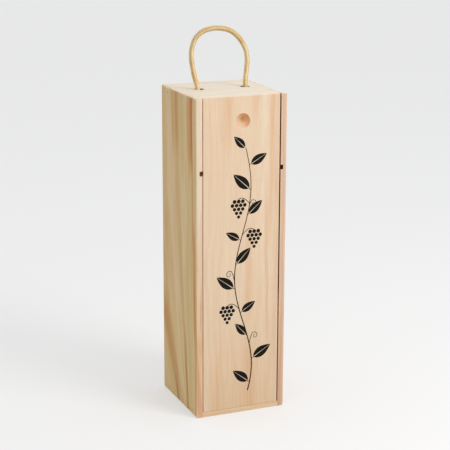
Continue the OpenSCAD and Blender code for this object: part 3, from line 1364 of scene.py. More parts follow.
@dataclass
class Studio:
    """The camera of the photograph, a pale floor, and soft plain light. Lengths in metres."""

    target: Point = (0.002377, 0.0, 0.199218)
    distance: float = 1.4795
    azimuth: float = -22.533
    elevation: float = 14.932
    roll: float = 0.166
    lens: float = 108.03
    sensor: float = 36.0
    floor_radius: float = 14.0
    floor_sides: int = 64
    sky: float = 0.85
    seen_sky: float = 0.868
    sky_tint: Colour = (0.93, 0.935, 0.94)
    key_place: Point = (0.62, -0.98, 1.02)
    key_target: Point = (0.0, 0.0, 0.2)
    key_size: float = 0.62
    key_power: float = 8.8
    key_tint: Colour = (1.0, 0.985, 0.965)
    floor_tone: Colour = (0.5, 0.49, 0.48)
    seen_floor: float = 0.52
    seen_floor_glow: float = 0.38

    @staticmethod
    def _aimed(place: Vector, back: Vector) -> Matrix:
        """Stands something at a place, upright and with its back that way."""
        return Matrix.Translation(place) @ back.to_track_quat("Z", "Y").to_matrix().to_4x4()

    def place_camera(self) -> None:
        """Puts the camera where the photograph was taken from."""
        turn, rise = math.radians(self.azimuth), math.radians(self.elevation)
        back = Vector((math.sin(turn) * math.cos(rise), -math.cos(turn) * math.cos(rise),
                       math.sin(rise)))
        data = bpy.data.cameras.new("camera")
        data.lens, data.sensor_width, data.sensor_fit = self.lens, self.sensor, "HORIZONTAL"
        data.clip_start, data.clip_end = 0.05, 60.0
        camera = new_object("camera", data)
        camera.matrix_world = (self._aimed(Vector(self.target) + self.distance * back, back)
                               @ Matrix.Rotation(math.radians(self.roll), 4, "Z"))
        bpy.context.scene.camera = camera
        LOG.info("camera %.3f m from the box", self.distance)

    def light(self) -> None:
        """Lights the box: an even sky and one wide lamp in front, above and to the right."""
        world = bpy.data.worlds.new("sky")
        bpy.context.scene.world = world
        world.use_nodes = True
        g = Graph(world.node_tree)
        sky = g.tree.nodes["Background"]
        rays = g.add("ShaderNodeLightPath").outputs
        seen = g.math("MAXIMUM", rays["Is Camera Ray"],
                      g.math("MAXIMUM", rays["Is Glossy Ray"], rays["Is Transmission Ray"]))
        g.feed(sky.inputs["Color"], self.sky_tint)
        g.feed(sky.inputs["Strength"], g.line(seen, self.seen_sky - self.sky, self.sky))
        data = bpy.data.lights.new("key", "AREA")
        data.size, data.energy, data.color = self.key_size, self.key_power, self.key_tint
        place = Vector(self.key_place)
        new_object("key", data).matrix_world = self._aimed(place, place - Vector(self.key_target))

    def lay_floor(self) -> None:
        """Lays the pale floor, which glows a little for the camera alone."""
        rim = lathe([(0.0, self.floor_radius / MM)], self.floor_sides)
        floor = new_object("floor", mesh_of("floor", rim, [tuple(range(self.floor_sides))]))
        material, g, shader = start_finish("pale floor", {
            "Emission Strength": 1.0, "Roughness": 0.9, "Specular IOR Level": 0.1})
        seen = g.add("ShaderNodeLightPath").outputs["Is Camera Ray"]
        g.feed(shader.inputs["Base Color"], g.mix(seen, self.floor_tone, (self.seen_floor,) * 3))
        g.feed(shader.inputs["Emission Color"],
               g.mix(seen, (0.0, 0.0, 0.0), (self.seen_floor_glow,) * 3))
        floor.data.materials.append(material)


# ---- The rope handle ----


@dataclass
class RopeHandle:
    """The braided rope, from the knot under one hole over to the knot under the other."""

    arch: tuple[Flat, ...] = (
        (-27.5, 353.5), (-30, 361.5), (-32, 370.5), (-33.5, 379.5), (-34, 388.5), (-32.5, 397),
        (-29, 404.5), (-23, 410), (-15, 413), (-6, 414), (3, 413), (11.5, 410), (19, 404),
        (24.5, 397), (28.5, 389), (30, 380), (29.5, 370.5), (28.5, 361.5), (28, 353.5))
    hole_y: float = 6.0
    hidden: float = 336.5
    tail_x: Flat = (-27.0, 29.0)
    diameter: float = 6.0
    strands: int = 8
    strand_radius: float = 0.93
    braid_radius: float = 1.76
    weave_depth: float = 0.22
    rib_depth: float = 0.2
    core_radius: float = 1.5
    lead: float = 9.2
    step: float = 0.38
    knot_radius: float = 4.5
    tail_foot: float = 314.6
    bend_from: float = 352.5
    bend_to: float = 368.0
    hole_bend: float = 345.0
    knot_lead: tuple[Point, ...] = ((0, 0, 338.4), (0.2, 0.3, 334), (0.8, 1.2, 329.5),
                                    (2.6, 2.4, 327.2))
    knot_foot: float = 328.2
    knot_rise: float = 7.2
    knot_start: float = 0.75
    knot_turns: float = 1.45
    knot_steps: int = 12
    knot_exit: tuple[Point, ...] = ((-2.2, 0.4, 333), (-1, -1, 329), (-0.6, -0.6, 324))

    def sizes(self, finish: Material) -> dict[str, object]:
        """The braid's sizes for the tree.

        Args:
            finish: The yarn's material.

        Returns:
            The tree's inputs by name, with lengths in metres.
        """
        lengths = {"Strand radius": self.strand_radius, "Braid radius": self.braid_radius,
                   "Weave depth": self.weave_depth, "Rib depth": self.rib_depth,
                   "Lead": self.lead, "Step": self.step, "Core radius": self.core_radius}
        return {"Strands": self.strands, "Finish": finish,
                **{name: value * MM for name, value in lengths.items()}}

    def route(self) -> np.ndarray:
        """The rope's middle line in metres, from under one hole to under the other."""
        left = [(self.tail_x[0], self.hidden), (self.tail_x[0] - 0.1, self.hole_bend)]
        right = [(self.tail_x[1] - 0.1, self.hole_bend), (self.tail_x[1], self.hidden)]
        spots = np.array([(x, self.hole_y, z) for x, z in (*left, *self.arch, *right)]) * MM
        return self.rounded(spots, 10)

    @staticmethod
    def rounded(spots: np.ndarray, steps: int) -> np.ndarray:
        """Draws a smooth line through points.

        Args:
            spots: The points.
            steps: How many pieces lie between two of them.

        Returns:
            The line's points.
        """
        ends = np.vstack([2 * spots[0] - spots[1], spots, 2 * spots[-1] - spots[-2]])
        line = []
        for a, b, c, d in zip(ends, ends[1:], ends[2:], ends[3:]):
            for t in np.arange(steps) / steps:
                line.append(0.5 * (2 * b + (c - a) * t + (2 * a - 5 * b + 4 * c - d) * t * t
                                   + (3 * b - a - 3 * c + d) * t ** 3))
        return np.array([*line, spots[-1]])

    def knot_route(self, x: float, way: int) -> np.ndarray:
        """The middle line of a stopper knot and its tail, in metres.

        Args:
            x: Where the rope comes down.
            way: 1 or -1, the way round that it is tied.

        Returns:
            The line's points.
        """
        r = self.knot_radius
        spots = list(self.knot_lead)
        for share in np.arange(self.knot_steps + 1) / self.knot_steps:
            angle = self.knot_start + 2 * math.pi * self.knot_turns * share
            spots.append((r * math.cos(angle), r * math.sin(angle),
                          self.knot_foot + self.knot_rise * share))
        spots += [*self.knot_exit, (-0.2, 0.4, self.tail_foot)]
        placed = [(x + way * a, self.hole_y + b, c) for a, b, c in spots]
        return self.rounded(np.array(placed) * MM, 8)

    def build(self, braider: Braider, finish: Material) -> None:
        """Makes the rope and its knots, and sets the knots on the case.

        Args:
            braider: The braid's geometry tree.
            finish: The yarn's material.
        """
        route = self.route()
        rope = braider.braid("handle_braid", route, self.sizes(finish))
        for name, x, way, node in (("left_knot", self.tail_x[0], 1, "left_rope_end"),
                                   ("right_knot", self.tail_x[1], -1, "right_rope_end")):
            knot = braider.braid(name, self.knot_route(x, way), self.sizes(finish))
            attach(knot, "case")
            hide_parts(node)
        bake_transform(rope)
        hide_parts("handle_rope")


# ---- Boards ----


@dataclass
class BoxSizes:
    """The box's own sizes in millimetres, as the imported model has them."""

    half_w: float = 51.5
    half_d: float = 51.5
    height: float = 350.0
    bay_x: float = 44.5
    groove_front: float = -47.0
    groove_back: float = -43.4
    groove_x: float = 47.7
    panel_y: float = 46.5
    panel_x: float = 48.0
    dado_low: float = 268.9
    dado_high: float = 273.7
    dado_x: float = 47.5
    top_under: float = 339.0
    floor_top: float = 11.0
    sill: float = 5.5
    brad_y: tuple[float, ...] = (-39.5, -9.0, 33.0)
    brad_z: tuple[float, ...] = (5.5, 344.5)
    back_brad_x: tuple[float, ...] = (-20.0, 0.0, 20.0)
    brad_hole: tuple[Flat, ...] = ((-1.0, 1.1), (0.9, 1.1), (0.9, 0.65), (20.5, 0.65))


@dataclass
class Carcass:
    """The sides, back, top, bottom and neck rest: all that stands still."""

    sizes: BoxSizes
    effects: WoodEffects
    left: PineFinish
    right: PineFinish
    back: PineFinish
    top: PineFinish
    bottom: PineFinish
    rest: PlywoodFinish
    outer_radius: float = 1.2
    corner_radii: Flat = (2.2, 3.0)
    hole_x: Flat = (-25.5, 27.5)
    hole_y: float = 6.0
    hole_sides: int = 64
    brad_sides: int = 20
    neck_radius: float = 17.0
    neck_steps: int = 40

    def build(self) -> None:
        """Makes every fixed board."""
        self._side("left_side_board", -1, "left_side", self.left)
        self._side("right_side_board", 1, "right_side", self.right)
        self._back_panel()
        self._top_board()
        self._bottom_board()
        self._neck_rest()

    def _finish(self, board: Object, node: str,
                finish: PineFinish | PlywoodFinish) -> None:
        """Gives a board its finish and sets it in place of its plain solid."""
        dress(board, finish.build(self.effects, *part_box(node)), node, "case")

    def _bore_brads(self, cutters: Cutters, spots: list[Point], way: Point) -> None:
        """Adds the holes of brads that are driven in at some places."""
        for spot in spots:
            cutters.bore(spot, way, list(self.sizes.brad_hole), self.brad_sides)

    def _side(self, name: str, hand: int, node: str, finish: PineFinish) -> None:
        """One side board, with its groove, dado and rebate.

        Args:
            name: The piece's name.
            hand: -1 for the left and 1 for the right.
            node: The solid that it replaces.
            finish: Its finish.
        """
        s = self.sizes
        outer = self.outer_radius
        profile = [(s.half_w, -s.half_d, outer), (s.half_w, s.half_d, outer),
                   (s.panel_x, s.half_d, 0.35), (s.panel_x, s.panel_y, 0.05),
                   (s.bay_x, s.panel_y, 0.35), (s.bay_x, s.groove_back, 0.3),
                   (s.groove_x, s.groove_back, 0.1), (s.groove_x, s.groove_front, 0.1),
                   (s.bay_x, s.groove_front, 0.3), (s.bay_x, -s.half_d, 0.5)]
        section = Section(tuple(Corner(hand * x, y, r) for x, y, r in profile), LoftAxis.UP)
        board = section.draw(name, 0, s.height, 0.3, hand * s.half_w,
                             self.corner_radii[hand > 0])
        cutters = Cutters()
        inner, outer_x = sorted((hand * (s.bay_x - 1), hand * s.dado_x))
        cutters.slot((inner, -s.half_d - 1, s.dado_low), (outer_x, s.half_d + 1, s.dado_high))
        self._bore_brads(cutters, [(hand * s.half_w, y, z) for z in s.brad_z for y in s.brad_y],
                         (-hand, 0, 0))
        cutters.cut(board)
        self._finish(board, node, finish)

    def _back_panel(self) -> None:
        """The back panel."""
        s = self.sizes
        section = Section((Corner(-s.panel_x, s.panel_y, 0.2), Corner(s.panel_x, s.panel_y, 0.2),
                           Corner(s.panel_x, s.half_d, 0.3), Corner(-s.panel_x, s.half_d, 0.3)),
                          LoftAxis.UP)
        board = section.draw("back_board", 0, s.height, 0.4)
        cutters = Cutters()
        self._bore_brads(cutters, [(x, s.half_d, z) for z in s.brad_z for x in s.back_brad_x],
                         (0, -1, 0))
        cutters.cut(board)
        self._finish(board, "back_panel", self.back)

    def _top_board(self) -> None:
        """The top board, with its two rope holes."""
        s = self.sizes
        section = Section((Corner(s.groove_back, s.top_under), Corner(s.panel_y, s.top_under),
                           Corner(s.panel_y, s.height, 0.3), Corner(s.groove_back, s.height, 0.5)),
                          LoftAxis.SIDEWAYS)
        board = section.draw("top_board_dressed", -s.bay_x, s.bay_x, 0.3)
        cutters = Cutters()
        thick = s.height - s.top_under
        for x in self.hole_x:
            cutters.bore((x, self.hole_y, s.top_under), (0, 0, 1),
                         [(-1, 6.3), (0.3, 5), (thick - 0.35, 5), (thick, 5.4), (thick + 1, 6.5)],
                         self.hole_sides)
        cutters.cut(board)
        self._finish(board, "top_board", self.top)

    def _bottom_board(self) -> None:
        """The bottom board, with the sill that the lid stands on."""
        s = self.sizes
        section = Section((Corner(-s.half_d, 0, 0.5), Corner(s.panel_y, 0),
                           Corner(s.panel_y, s.floor_top), Corner(s.groove_back, s.floor_top),
                           Corner(s.groove_back, s.sill, 0.1), Corner(-s.half_d, s.sill, 0.25)),
                          LoftAxis.SIDEWAYS)
        board = section.draw("bottom_board_dressed", -s.bay_x, s.bay_x, 0.25)
        self._finish(board, "bottom_board", self.bottom)

    def _neck_rest(self) -> None:
        """The plywood neck rest, with a notch open to the front."""
        low, high = (tuple(v / MM for v in corner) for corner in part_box("neck_rest"))
        middle = (low[1] + high[1]) / 2
        r = self.neck_radius
        corners = [(low[0], low[1]), (-r, low[1])]
        arc = [(r * math.cos(a), middle + r * math.sin(a))
               for a in np.linspace(math.pi, 0, self.neck_steps + 1)]
        corners += [*arc, (r, low[1]), (high[0], low[1]), (high[0], high[1]), (low[0], high[1])]
        count = len(corners)
        points = [metres((x, y, z)) for z in (low[2], high[2]) for x, y in corners]
        plate = new_object("neck_rest_plate", mesh_of("neck_rest_plate", points,
                                                      prism(0, count)))
        bevel = plate.modifiers.new("ease", "BEVEL")
        bevel.width, bevel.segments, bevel.angle_limit = 0.3 * MM, 2, math.radians(60)
        settle(plate)
        self._finish(plate, "neck_rest", self.rest)


@dataclass(frozen=True)
class ThumbDish:
    """The round hollow near the top of the lid. Lengths are in millimetres."""

    middle: Point = (1.0, -66.24, 323.7)
    radius: float = 17.136
    face: float = -51.3
    rim: Flat = (8.3, 8.9)
    stain_and_shade: Colour = colour_of(219, 157, 106)
    ring: Colour = colour_of(184, 120, 68)
    rings_per_metre: float = 1150.0
    ring_strength: float = 0.42
    rings_ragged: float = 1.3
    heart: Flat = (1.7, 2.5)
    heart_strength: float = 0.85
    shade_from: Flat = (-7.0, 8.0)
    least_stain_and_shade: float = 0.35

    def tint(self, g: Graph, place: Socket, colour: Socket) -> Socket:
        """Deepens the wood's colour inside the dish, with painted shade, where the cut shows rings
        as contours.

        Args:
            g: The material's graph.
            place: The place on the lid.
            colour: The wood's colour.

        Returns:
            The new colour.
        """
        x, y, z = g.split(place)
        depth = g.math("SUBTRACT", y, self.face * MM)
        aside = g.math("SUBTRACT", x, self.middle[0] * MM)
        rise = g.math("SUBTRACT", z, self.middle[2] * MM)
        inside = g.product(g.step(depth, 0.02 * MM, 0.35 * MM),
                           g.fall(g.distance(aside, rise), *metres(self.rim)))
        # Painted shade: the dish's colour is strongest towards its upper right wall, where shade
        # falls.
        lean = g.step(g.line(rise, 0.8, aside), *metres(self.shade_from), self.least_stain_and_shade, 1.0)
        stained_and_shaded = g.product(inside, lean)
        rough = g.noise(place, Pattern.SAW_MARKS.value, seed=2.0)[0]
        sloped = g.line(rise, 0.13, g.line(aside, 0.03, depth))
        rings = g.line(rough, self.rings_ragged, g.product(sloped, self.rings_per_metre))
        rings = g.step(g.math("PINGPONG", rings, 0.5), 0.22, 0.5)
        colour = g.mix(stained_and_shaded, colour, self.stain_and_shade)
        colour = g.mix(g.product(stained_and_shaded, g.product(rings, self.ring_strength)), colour,
                       self.ring)
        heart = g.step(sloped, *metres(self.heart))
        return g.mix(g.product(inside, heart, self.heart_strength), colour, self.ring)


@dataclass
class SlidingLid:
    """The lid, its tongues and its thumb dish."""

    sizes: BoxSizes
    effects: WoodEffects
    finish: PineFinish
    dish: ThumbDish
    face_x: float = 43.4
    tongue_x: float = 47.2
    front: float = -51.3
    tongue_front: float = -46.75
    back: float = -43.65
    foot: float = 5.8

    def build(self) -> None:
        """Makes the lid."""
        section = Section((
            Corner(-self.face_x, self.front, 0.45), Corner(self.face_x, self.front, 0.45),
            Corner(self.face_x, self.tongue_front, 0.1),
            Corner(self.tongue_x, self.tongue_front, 0.25),
            Corner(self.tongue_x, self.back, 0.25), Corner(-self.tongue_x, self.back, 0.25),
            Corner(-self.tongue_x, self.tongue_front, 0.25),
            Corner(-self.face_x, self.tongue_front, 0.1)), LoftAxis.UP)
        lid = section.draw("sliding_lid", self.foot, self.sizes.height, 0.25)
        cutters = Cutters()
        cutters.ball(self.dish.middle, self.dish.radius)
        cutters.cut(lid)
        dress(lid, self.finish.build(self.effects, *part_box("lid"), self.dish), "lid",
              "lid")


@dataclass
class VinePrint:
    """A plain vine printed on the lid: a stem, leaves and berries. Lengths in millimetres.

    Curls and bunches each have a height and a side, 1 for the right and -1 for the left.
    """

    face: float = -51.3
    thickness: float = 0.05
    low: float = 24.0
    high: float = 294.0
    stem_width: float = 1.35
    stem_taper: float = 0.45
    stem_steps: int = 120
    sway: float = 11.0
    sway_turns: float = 1.35
    sway_start: float = 0.6
    sway_loss: float = 0.25
    middle: float = 2.0
    leaf_gap: float = 27.0
    leaf_length: float = 24.0
    leaf_width: float = 11.0
    leaf_lean: Flat = (52.0, 9.0)
    leaf_scale: Flat = (0.86, 0.14)
    leaf_steps: int = 14
    stalk_length: float = 3.0
    curls: tuple[tuple[float, int], ...] = ((78, 1), (150, -1), (226, 1))
    curl_size: float = 5.2
    curl_width: float = 0.75
    curl_turns: float = 1.3
    curl_steps: int = 46
    bunches: tuple[tuple[float, int], ...] = ((122, -1), (204, 1), (238, -1))
    bunch_rows: tuple[int, ...] = (3, 4, 3, 2, 1)
    bunch_reach: float = 13.0
    bunch_stalk_width: float = 0.7
    bunch_stalk_steps: int = 11
    berry_gap: Flat = (4.7, 4.2)
    berry_radius: float = 2.15
    berry_sides: int = 20

    def stem(self, z: float) -> float:
        """The stem's sideways place at a height."""
        share = (z - self.low) / (self.high - self.low)
        swing = math.sin(2 * math.pi * self.sway_turns * share + self.sway_start)
        return self.middle + self.sway * swing * (1 - self.sway_loss * share)

    def _slab(self, name: str, outlines: list[list[Flat]]) -> Mesh:
        """Thin closed slabs, with their back at the origin's level.

        Args:
            name: The mesh's name.
            outlines: The outline of each.

        Returns:
            All of them as one mesh.
        """
        points, faces = [], []
        for outline in outlines:
            faces += prism(len(points), len(outline))
            points += [metres((x, -y, z)) for y in (0.0, self.thickness) for x, z in outline]
        return mesh_of(name, points, faces)

    @staticmethod
    def _ribbon(line: list[Flat], widths: list[float]) -> list[Flat]:
        """Outlines a line of changing width.

        Args:
            line: Its points.
            widths: Its width at each point.

        Returns:
            The outline.
        """
        spots = np.array(line, float)
        ways = np.gradient(spots, axis=0)
        ways /= np.linalg.norm(ways, axis=1)[:, None]
        sides = np.stack([-ways[:, 1], ways[:, 0]], axis=1) * np.array(widths)[:, None] / 2
        return [tuple(p) for p in (*(spots + sides), *(spots - sides)[::-1])]

    def _leaf(self) -> Mesh:
        """A pointed leaf in two halves, with a bare vein between them."""
        halves = []
        for hand in (1, -1):
            share = np.linspace(0, 1, self.leaf_steps + 1)
            bulge = np.sin(math.pi * share ** 0.8) ** 0.9 * self.leaf_width / 2
            vein = 0.35 * (1 - share) + 0.1
            rise = self.stalk_length + self.leaf_length * share
            outer = [(hand * (v + b), z) for z, b, v in zip(rise, bulge, vein)]
            inner = [(hand * v, z) for z, v in zip(rise, vein)]
            halves.append(outer + inner[-2:0:-1])
        stalk = [(-0.35, 0.0), (0.35, 0.0), (0.25, 3.6), (-0.25, 3.6)]
        return self._slab("leaf", [*halves, stalk])

    def _curl(self, z: float, hand: int) -> list[Flat]:
        """Outlines a tendril that curls in on itself.

        Args:
            z: Where it leaves the stem.
            hand: Its side.

        Returns:
            The outline.
        """
        start = (self.stem(z), z)
        turn = np.linspace(0, 2 * math.pi * self.curl_turns, self.curl_steps)
        radius = self.curl_size * np.exp(-turn / 5.2)
        curl = [(start[0] + hand * (6.4 - r * math.cos(t)),
                 start[1] + 5 + r * math.sin(t) + 3.5 * min(1, t)) for t, r in zip(turn, radius)]
        return self._ribbon([start, *curl],
                            [self.curl_width * (1 - 0.5 * k / self.curl_steps)
                             for k in range(self.curl_steps + 1)])

    def _bunch_stalk(self, z: float, hand: int) -> list[Flat]:
        """Outlines the stalk of a bunch of berries.

        Args:
            z: How high the bunch hangs.
            hand: Its side.

        Returns:
            The outline.
        """
        base = z - 3.0
        stalk = [(self.stem(base) + hand * self.bunch_reach * t, base + 6.5 * math.sin(2.2 * t))
                 for t in np.linspace(0, 1, self.bunch_stalk_steps + 1)]
        return self._ribbon(stalk, [self.bunch_stalk_width] * len(stalk))

    def _print_leaves(self, repeater: Repeater, finish: Material) -> Object:
        """Prints leaves to the left and right of the stem by turns.

        Args:
            repeater: The tree that sets out copies.
            finish: The ink.

        Returns:
            The leaves.
        """
        places, turns, sizes = [], [], []
        for number in range(int((self.high - self.low) / self.leaf_gap) + 1):
            z = min(self.low + self.leaf_gap * (number + 0.35), self.high)
            hand = 1 if number % 2 else -1
            places.append(metres((self.stem(z), self.face, z)))
            lean, more_lean = self.leaf_lean
            turns.append((0, hand * math.radians(lean + more_lean * math.sin(2.3 * number)), 0))
            scale, more_scale = self.leaf_scale
            sizes.append(scale + more_scale * math.sin(1.7 * number + 0.5))
        return repeater.set_out("vine_leaves", self._leaf(), places, turns, sizes, finish)

    def _print_berries(self, repeater: Repeater, finish: Material) -> Object:
        """Prints the bunches of berries.

        Args:
            repeater: The tree that sets out copies.
            finish: The ink.

        Returns:
            The berries.
        """
        angles = np.linspace(0, 2 * math.pi, self.berry_sides + 1)[:-1]
        disc = [(self.berry_radius * math.cos(a), self.berry_radius * math.sin(a))
                for a in angles]
        across, down = self.berry_gap
        places, sizes = [], []
        for top_z, hand in self.bunches:
            middle = self.stem(top_z) + hand * self.bunch_reach
            for row, wide in enumerate(self.bunch_rows):
                for k in range(wide):
                    places.append(metres((middle + (k - (wide - 1) / 2) * across, self.face,
                                          top_z - down * row)))
                    sizes.append(1.0 - 0.04 * row)
        return repeater.set_out("vine_berries", self._slab("berry", [disc]), places,
                                [(0, 0, 0)] * len(places), sizes, finish)

    def build(self, repeater: Repeater, finish: Material) -> None:
        """Prints the vine on the lid.

        Args:
            repeater: The tree that sets out copies.
            finish: The ink.
        """
        count = self.stem_steps
        line = [(self.stem(z), z) for z in np.linspace(self.low, self.high, count + 1)]
        widths = [self.stem_width * (1 - self.stem_taper * k / count) for k in range(count + 1)]
        outlines = [self._ribbon(line, widths), *(self._curl(*curl) for curl in self.curls),
                    *(self._bunch_stalk(*bunch) for bunch in self.bunches)]
        stem = new_object("vine_stem", self._slab("vine_stem", outlines))
        stem.data.transform(Matrix.Translation((0, self.face * MM, 0)))
        stem.data.materials.append(finish)
        for piece in (stem, self._print_leaves(repeater, finish),
                      self._print_berries(repeater, finish)):
            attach(piece, "lid")
            LOG.info("%s, %d faces", piece.name, len(piece.data.polygons))


# ---- Brads ----


@dataclass
class Brads:
    """The brads that hold the top, bottom and back. Lengths in millimetres."""

    sizes: BoxSizes
    length: float = 20.0
    shank: float = 0.65
    head: float = 1.1
    head_thick: float = 0.6
    sink: float = 0.3
    crown: tuple[Flat, ...] = ((-0.06, 0.0), (0.0, 0.45), (-0.05, 0.85))
    ribs: int = 4
    rib_start: float = 1.6
    rib_gap: float = 0.9
    rib_depth: float = 0.1
    sides: int = 16

    def _pattern(self) -> Mesh:
        """One brad, driven towards -Z, with the wood's face at the origin's level."""
        top = -self.sink
        neck, foot = top - self.head_thick, top - self.length
        profile = [(top + z, radius) for z, radius in self.crown]
        profile += [(top - 0.2, self.head - 0.02), (neck + 0.1, self.head - 0.02),
                    (neck, self.head - 0.2), (neck - 0.05, self.shank)]
        for number in range(self.ribs):
            z = top - self.rib_start - self.rib_gap * number
            profile += [(z, self.shank), (z - 0.15, self.shank - self.rib_depth),
                        (z - 0.3, self.shank)]
        profile += [(foot + 2.0, self.shank), (foot + 0.3, 0.15), (foot, 0.0)]
        faces = [face for ring in range(len(profile) - 1)
                 for face in band(ring * self.sides, self.sides)]
        mesh = mesh_of("brad", lathe(profile, self.sides), faces, 1e-6, True)
        mesh.shade_smooth()
        return mesh

    def build(self, repeater: Repeater, low_finish: Material,
              high_finish: Material) -> None:
        """Drives each row of brads.

        Args:
            repeater: The tree that sets out copies.
            low_finish: The steel of the rows at the bottom.
            high_finish: The brassed steel of the rows at the top.
        """
        s = self.sizes
        half = math.pi / 2
        low, high = s.brad_z
        rows = {}
        for where, z in (("bottom", low), ("top", high)):
            rows[f"{where}_left_brads"] = ([(-s.half_w, y, z) for y in s.brad_y], (0, -half, 0))
            rows[f"{where}_right_brads"] = ([(s.half_w, y, z) for y in s.brad_y], (0, half, 0))
            rows[f"back_{where}_brads"] = ([(x, s.half_d, z) for x in s.back_brad_x],
                                           (-half, 0, 0))
        for node, (spots, turn) in rows.items():
            places = [metres(spot) for spot in spots]
            finish = high_finish if "top" in node else low_finish
            row = repeater.set_out(node + "_driven", self._pattern(), places,
                                   [turn] * len(places), [1.0] * len(places), finish)
            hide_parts(node)
            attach(row, "case")
        LOG.info("brads, %d rows", len(rows))


# ---- What each piece is made of ----

ORANGE = colour_of(214, 146, 92)
DEEP_ORANGE = colour_of(208, 134, 76)
RUST = colour_of(188, 102, 50)
LIP_RUST = colour_of(214, 142, 100)
PALE_ORANGE = colour_of(226, 172, 130)
PINK_TAN = colour_of(226, 188, 158)
PALE_PINK = colour_of(241, 213, 180)
PALE_STRAW = colour_of(239, 216, 164)
CREAM = colour_of(237, 224, 203)
LIP_TAN = colour_of(234, 203, 178)
BROWN = colour_of(208, 158, 102)
OCHRE = colour_of(204, 154, 92)
DEEP_BROWN = colour_of(176, 122, 66)
GREEN_TAN = colour_of(208, 192, 142)
SAWN = colour_of(238, 228, 210)
# Painted light: a pale tone that lifts the shade on the walls of the gap beside the lid.
PAINTED_GAP_LIGHT = colour_of(253, 228, 208)
BLUSH = colour_of(240, 204, 184)
SCORCH = colour_of(98, 50, 38)

StreakRow = tuple[Colour, float, Point, Point, float]


class BoardFace(Enum):
    """A face that streaks show on: the axis off it, its place there and a streak's reach there."""

    LEFT = (0, -51, 30)
    RIGHT = (0, 50, 30)
    FRONT = (1, -51, 30)
    BACK = (1, 50, 30)
    LIP = (1, -51.5, 1.2)


def streaks_on(face: BoardFace, rows: tuple[StreakRow, ...], flows: bool = True
               ) -> tuple[Streak, ...]:
    """Lists the streaks on one face of a board.

    Args:
        face: The face.
        rows: For each streak its colour and strength, its place across the face, height and
            reach at its foot, the same at its top, and its fade.
        flows: Whether they follow the grain.

    Returns:
        The streaks.
    """
    axis, level, off = face.value
    streaks = []
    for colour, strength, *ends, fade in rows:
        spots = [(across, level, z) if axis else (level, across, z) for across, z, _ in ends]
        reaches = [(reach, off) if axis else (off, reach) for _, _, reach in ends]
        streaks.append(Streak(colour, strength, *spots, *reaches, fade, flows))
    return tuple(streaks)


LEFT_PINE = PineFinish(
    "left side pine", early=colour_of(238, 208, 160), late=colour_of(210, 166, 106),
    shade=colour_of(227, 201, 140), pith=(-118.0, 2.0), ring_gap=3.4, ring_strength=0.4,
    wander=9.0, seed=11.0, tone_strength=0.8, end=SAWN,
    flow=GrainFlow(-27.0, 42.0, 200.0, 0.0455),
    streaks=(
        *streaks_on(BoardFace.LEFT, (
            (PALE_PINK, 0.6, (-20, 115, 4.4), (-17, 372, 5.0), 24),
            (PALE_PINK, 0.55, (-35.5, 175, 2.6), (-35, 272, 2.4), 24),
            (PALE_STRAW, 0.5, (-14, 30, 6.0), (-18, 150, 5.0), 24),
            (OCHRE, 0.42, (2, 92, 7.0), (-9, 215, 4.5), 26),
            (GREEN_TAN, 0.5, (-35, -30, 3.0), (-37, 180, 3.0), 40),
            (GREEN_TAN, 0.6, (-34.3, 268, 1.6), (-34.5, 380, 1.7), 24),
            (BROWN, 0.6, (-25.6, 300, 5.4), (-25.4, 380, 6.4), 20),
            (BROWN, 0.85, (-28.2, 290, 3.2), (-27.6, 380, 3.8), 20),
            (ORANGE, 0.35, (-27.0, 300, 2.0), (-26.6, 380, 2.6), 20),
            (BROWN, 0.45, (-27.6, 84, 4.2), (-26.8, 300, 3.8), 24),
            (CREAM, 0.5, (-31.2, 95, 1.3), (-32.2, 262, 1.4), 30),
            (OCHRE, 0.95, (-25.8, -20, 4.4), (-28.4, 92, 2.4), 18),
            (DEEP_BROWN, 0.9, (-27.0, -20, 2.6), (-28.8, 70, 1.2), 14),
            (DEEP_BROWN, 0.35, (-39, -10, 0.8), (-40, 84, 0.7), 16),
            (ORANGE, 0.6, (-43.4, 272, 4.0), (-43.2, 380, 4.4), 18),
            (ORANGE, 0.5, (-40.9, 290, 0.6), (-40.8, 380, 0.6), 18),
            (ORANGE, 0.95, (-44.6, 278, 2.3), (-44.2, 380, 2.6), 14),
            (RUST, 0.72, (-45.2, 290, 1.0), (-44.8, 380, 1.2), 14),
            (ORANGE, 0.55, (-46.4, 180, 2.0), (-45.0, 290, 1.8), 20),
            (DEEP_ORANGE, 0.95, (-47.9, 88, 2.6), (-46.5, 205, 2.6), 24),
            (BROWN, 0.8, (-48.9, -20, 2.4), (-48.2, 110, 2.2), 26),
            (OCHRE, 0.72, (-0.5, 8, 9.5), (6.5, 116, 12.0), 22),
            (DEEP_ORANGE, 0.6, (-1, 24, 5.5), (5, 100, 8.0), 20),
            (DEEP_BROWN, 0.95, (1.5, -30, 5.4), (1.0, 24, 3.8), 14),
        )),
        Streak(LIP_TAN, 0.92, (-47.5, -51.5, -30), (-47.5, -51.5, 380), (9, 1.1), (9, 1.1),
               14, False),
        *streaks_on(BoardFace.LIP, (
            (CREAM, 0.95, (-47.9, 210, 9), (-47.9, 520, 9), 60),
            (PINK_TAN, 0.6, (-45.6, 96, 1.7), (-45.4, 240, 1.4), 30),
            (BLUSH, 0.8, (-45.3, 236, 0.9), (-45.2, 420, 0.8), 30),
            (LIP_RUST, 0.6, (-46.2, 102, 1.3), (-45.9, 134, 1.2), 12),
            (LIP_RUST, 0.9, (-46.8, -6, 5.4), (-51.4, 78, 2.0), 16),
        ), flows=False),
    ),
    # Painted light on the left lip's inner wall, lifting the shade in the gap beside the lid.
    gap=PaintedGapLightAndShade(PAINTED_GAP_LIGHT, 0.9, 44.5, -47.1),
    # Painted shade on the walls of the dado slot.
    cuts=PaintedCutShade(colour_of(116, 56, 40), (268.9, 273.7, 47.5)))

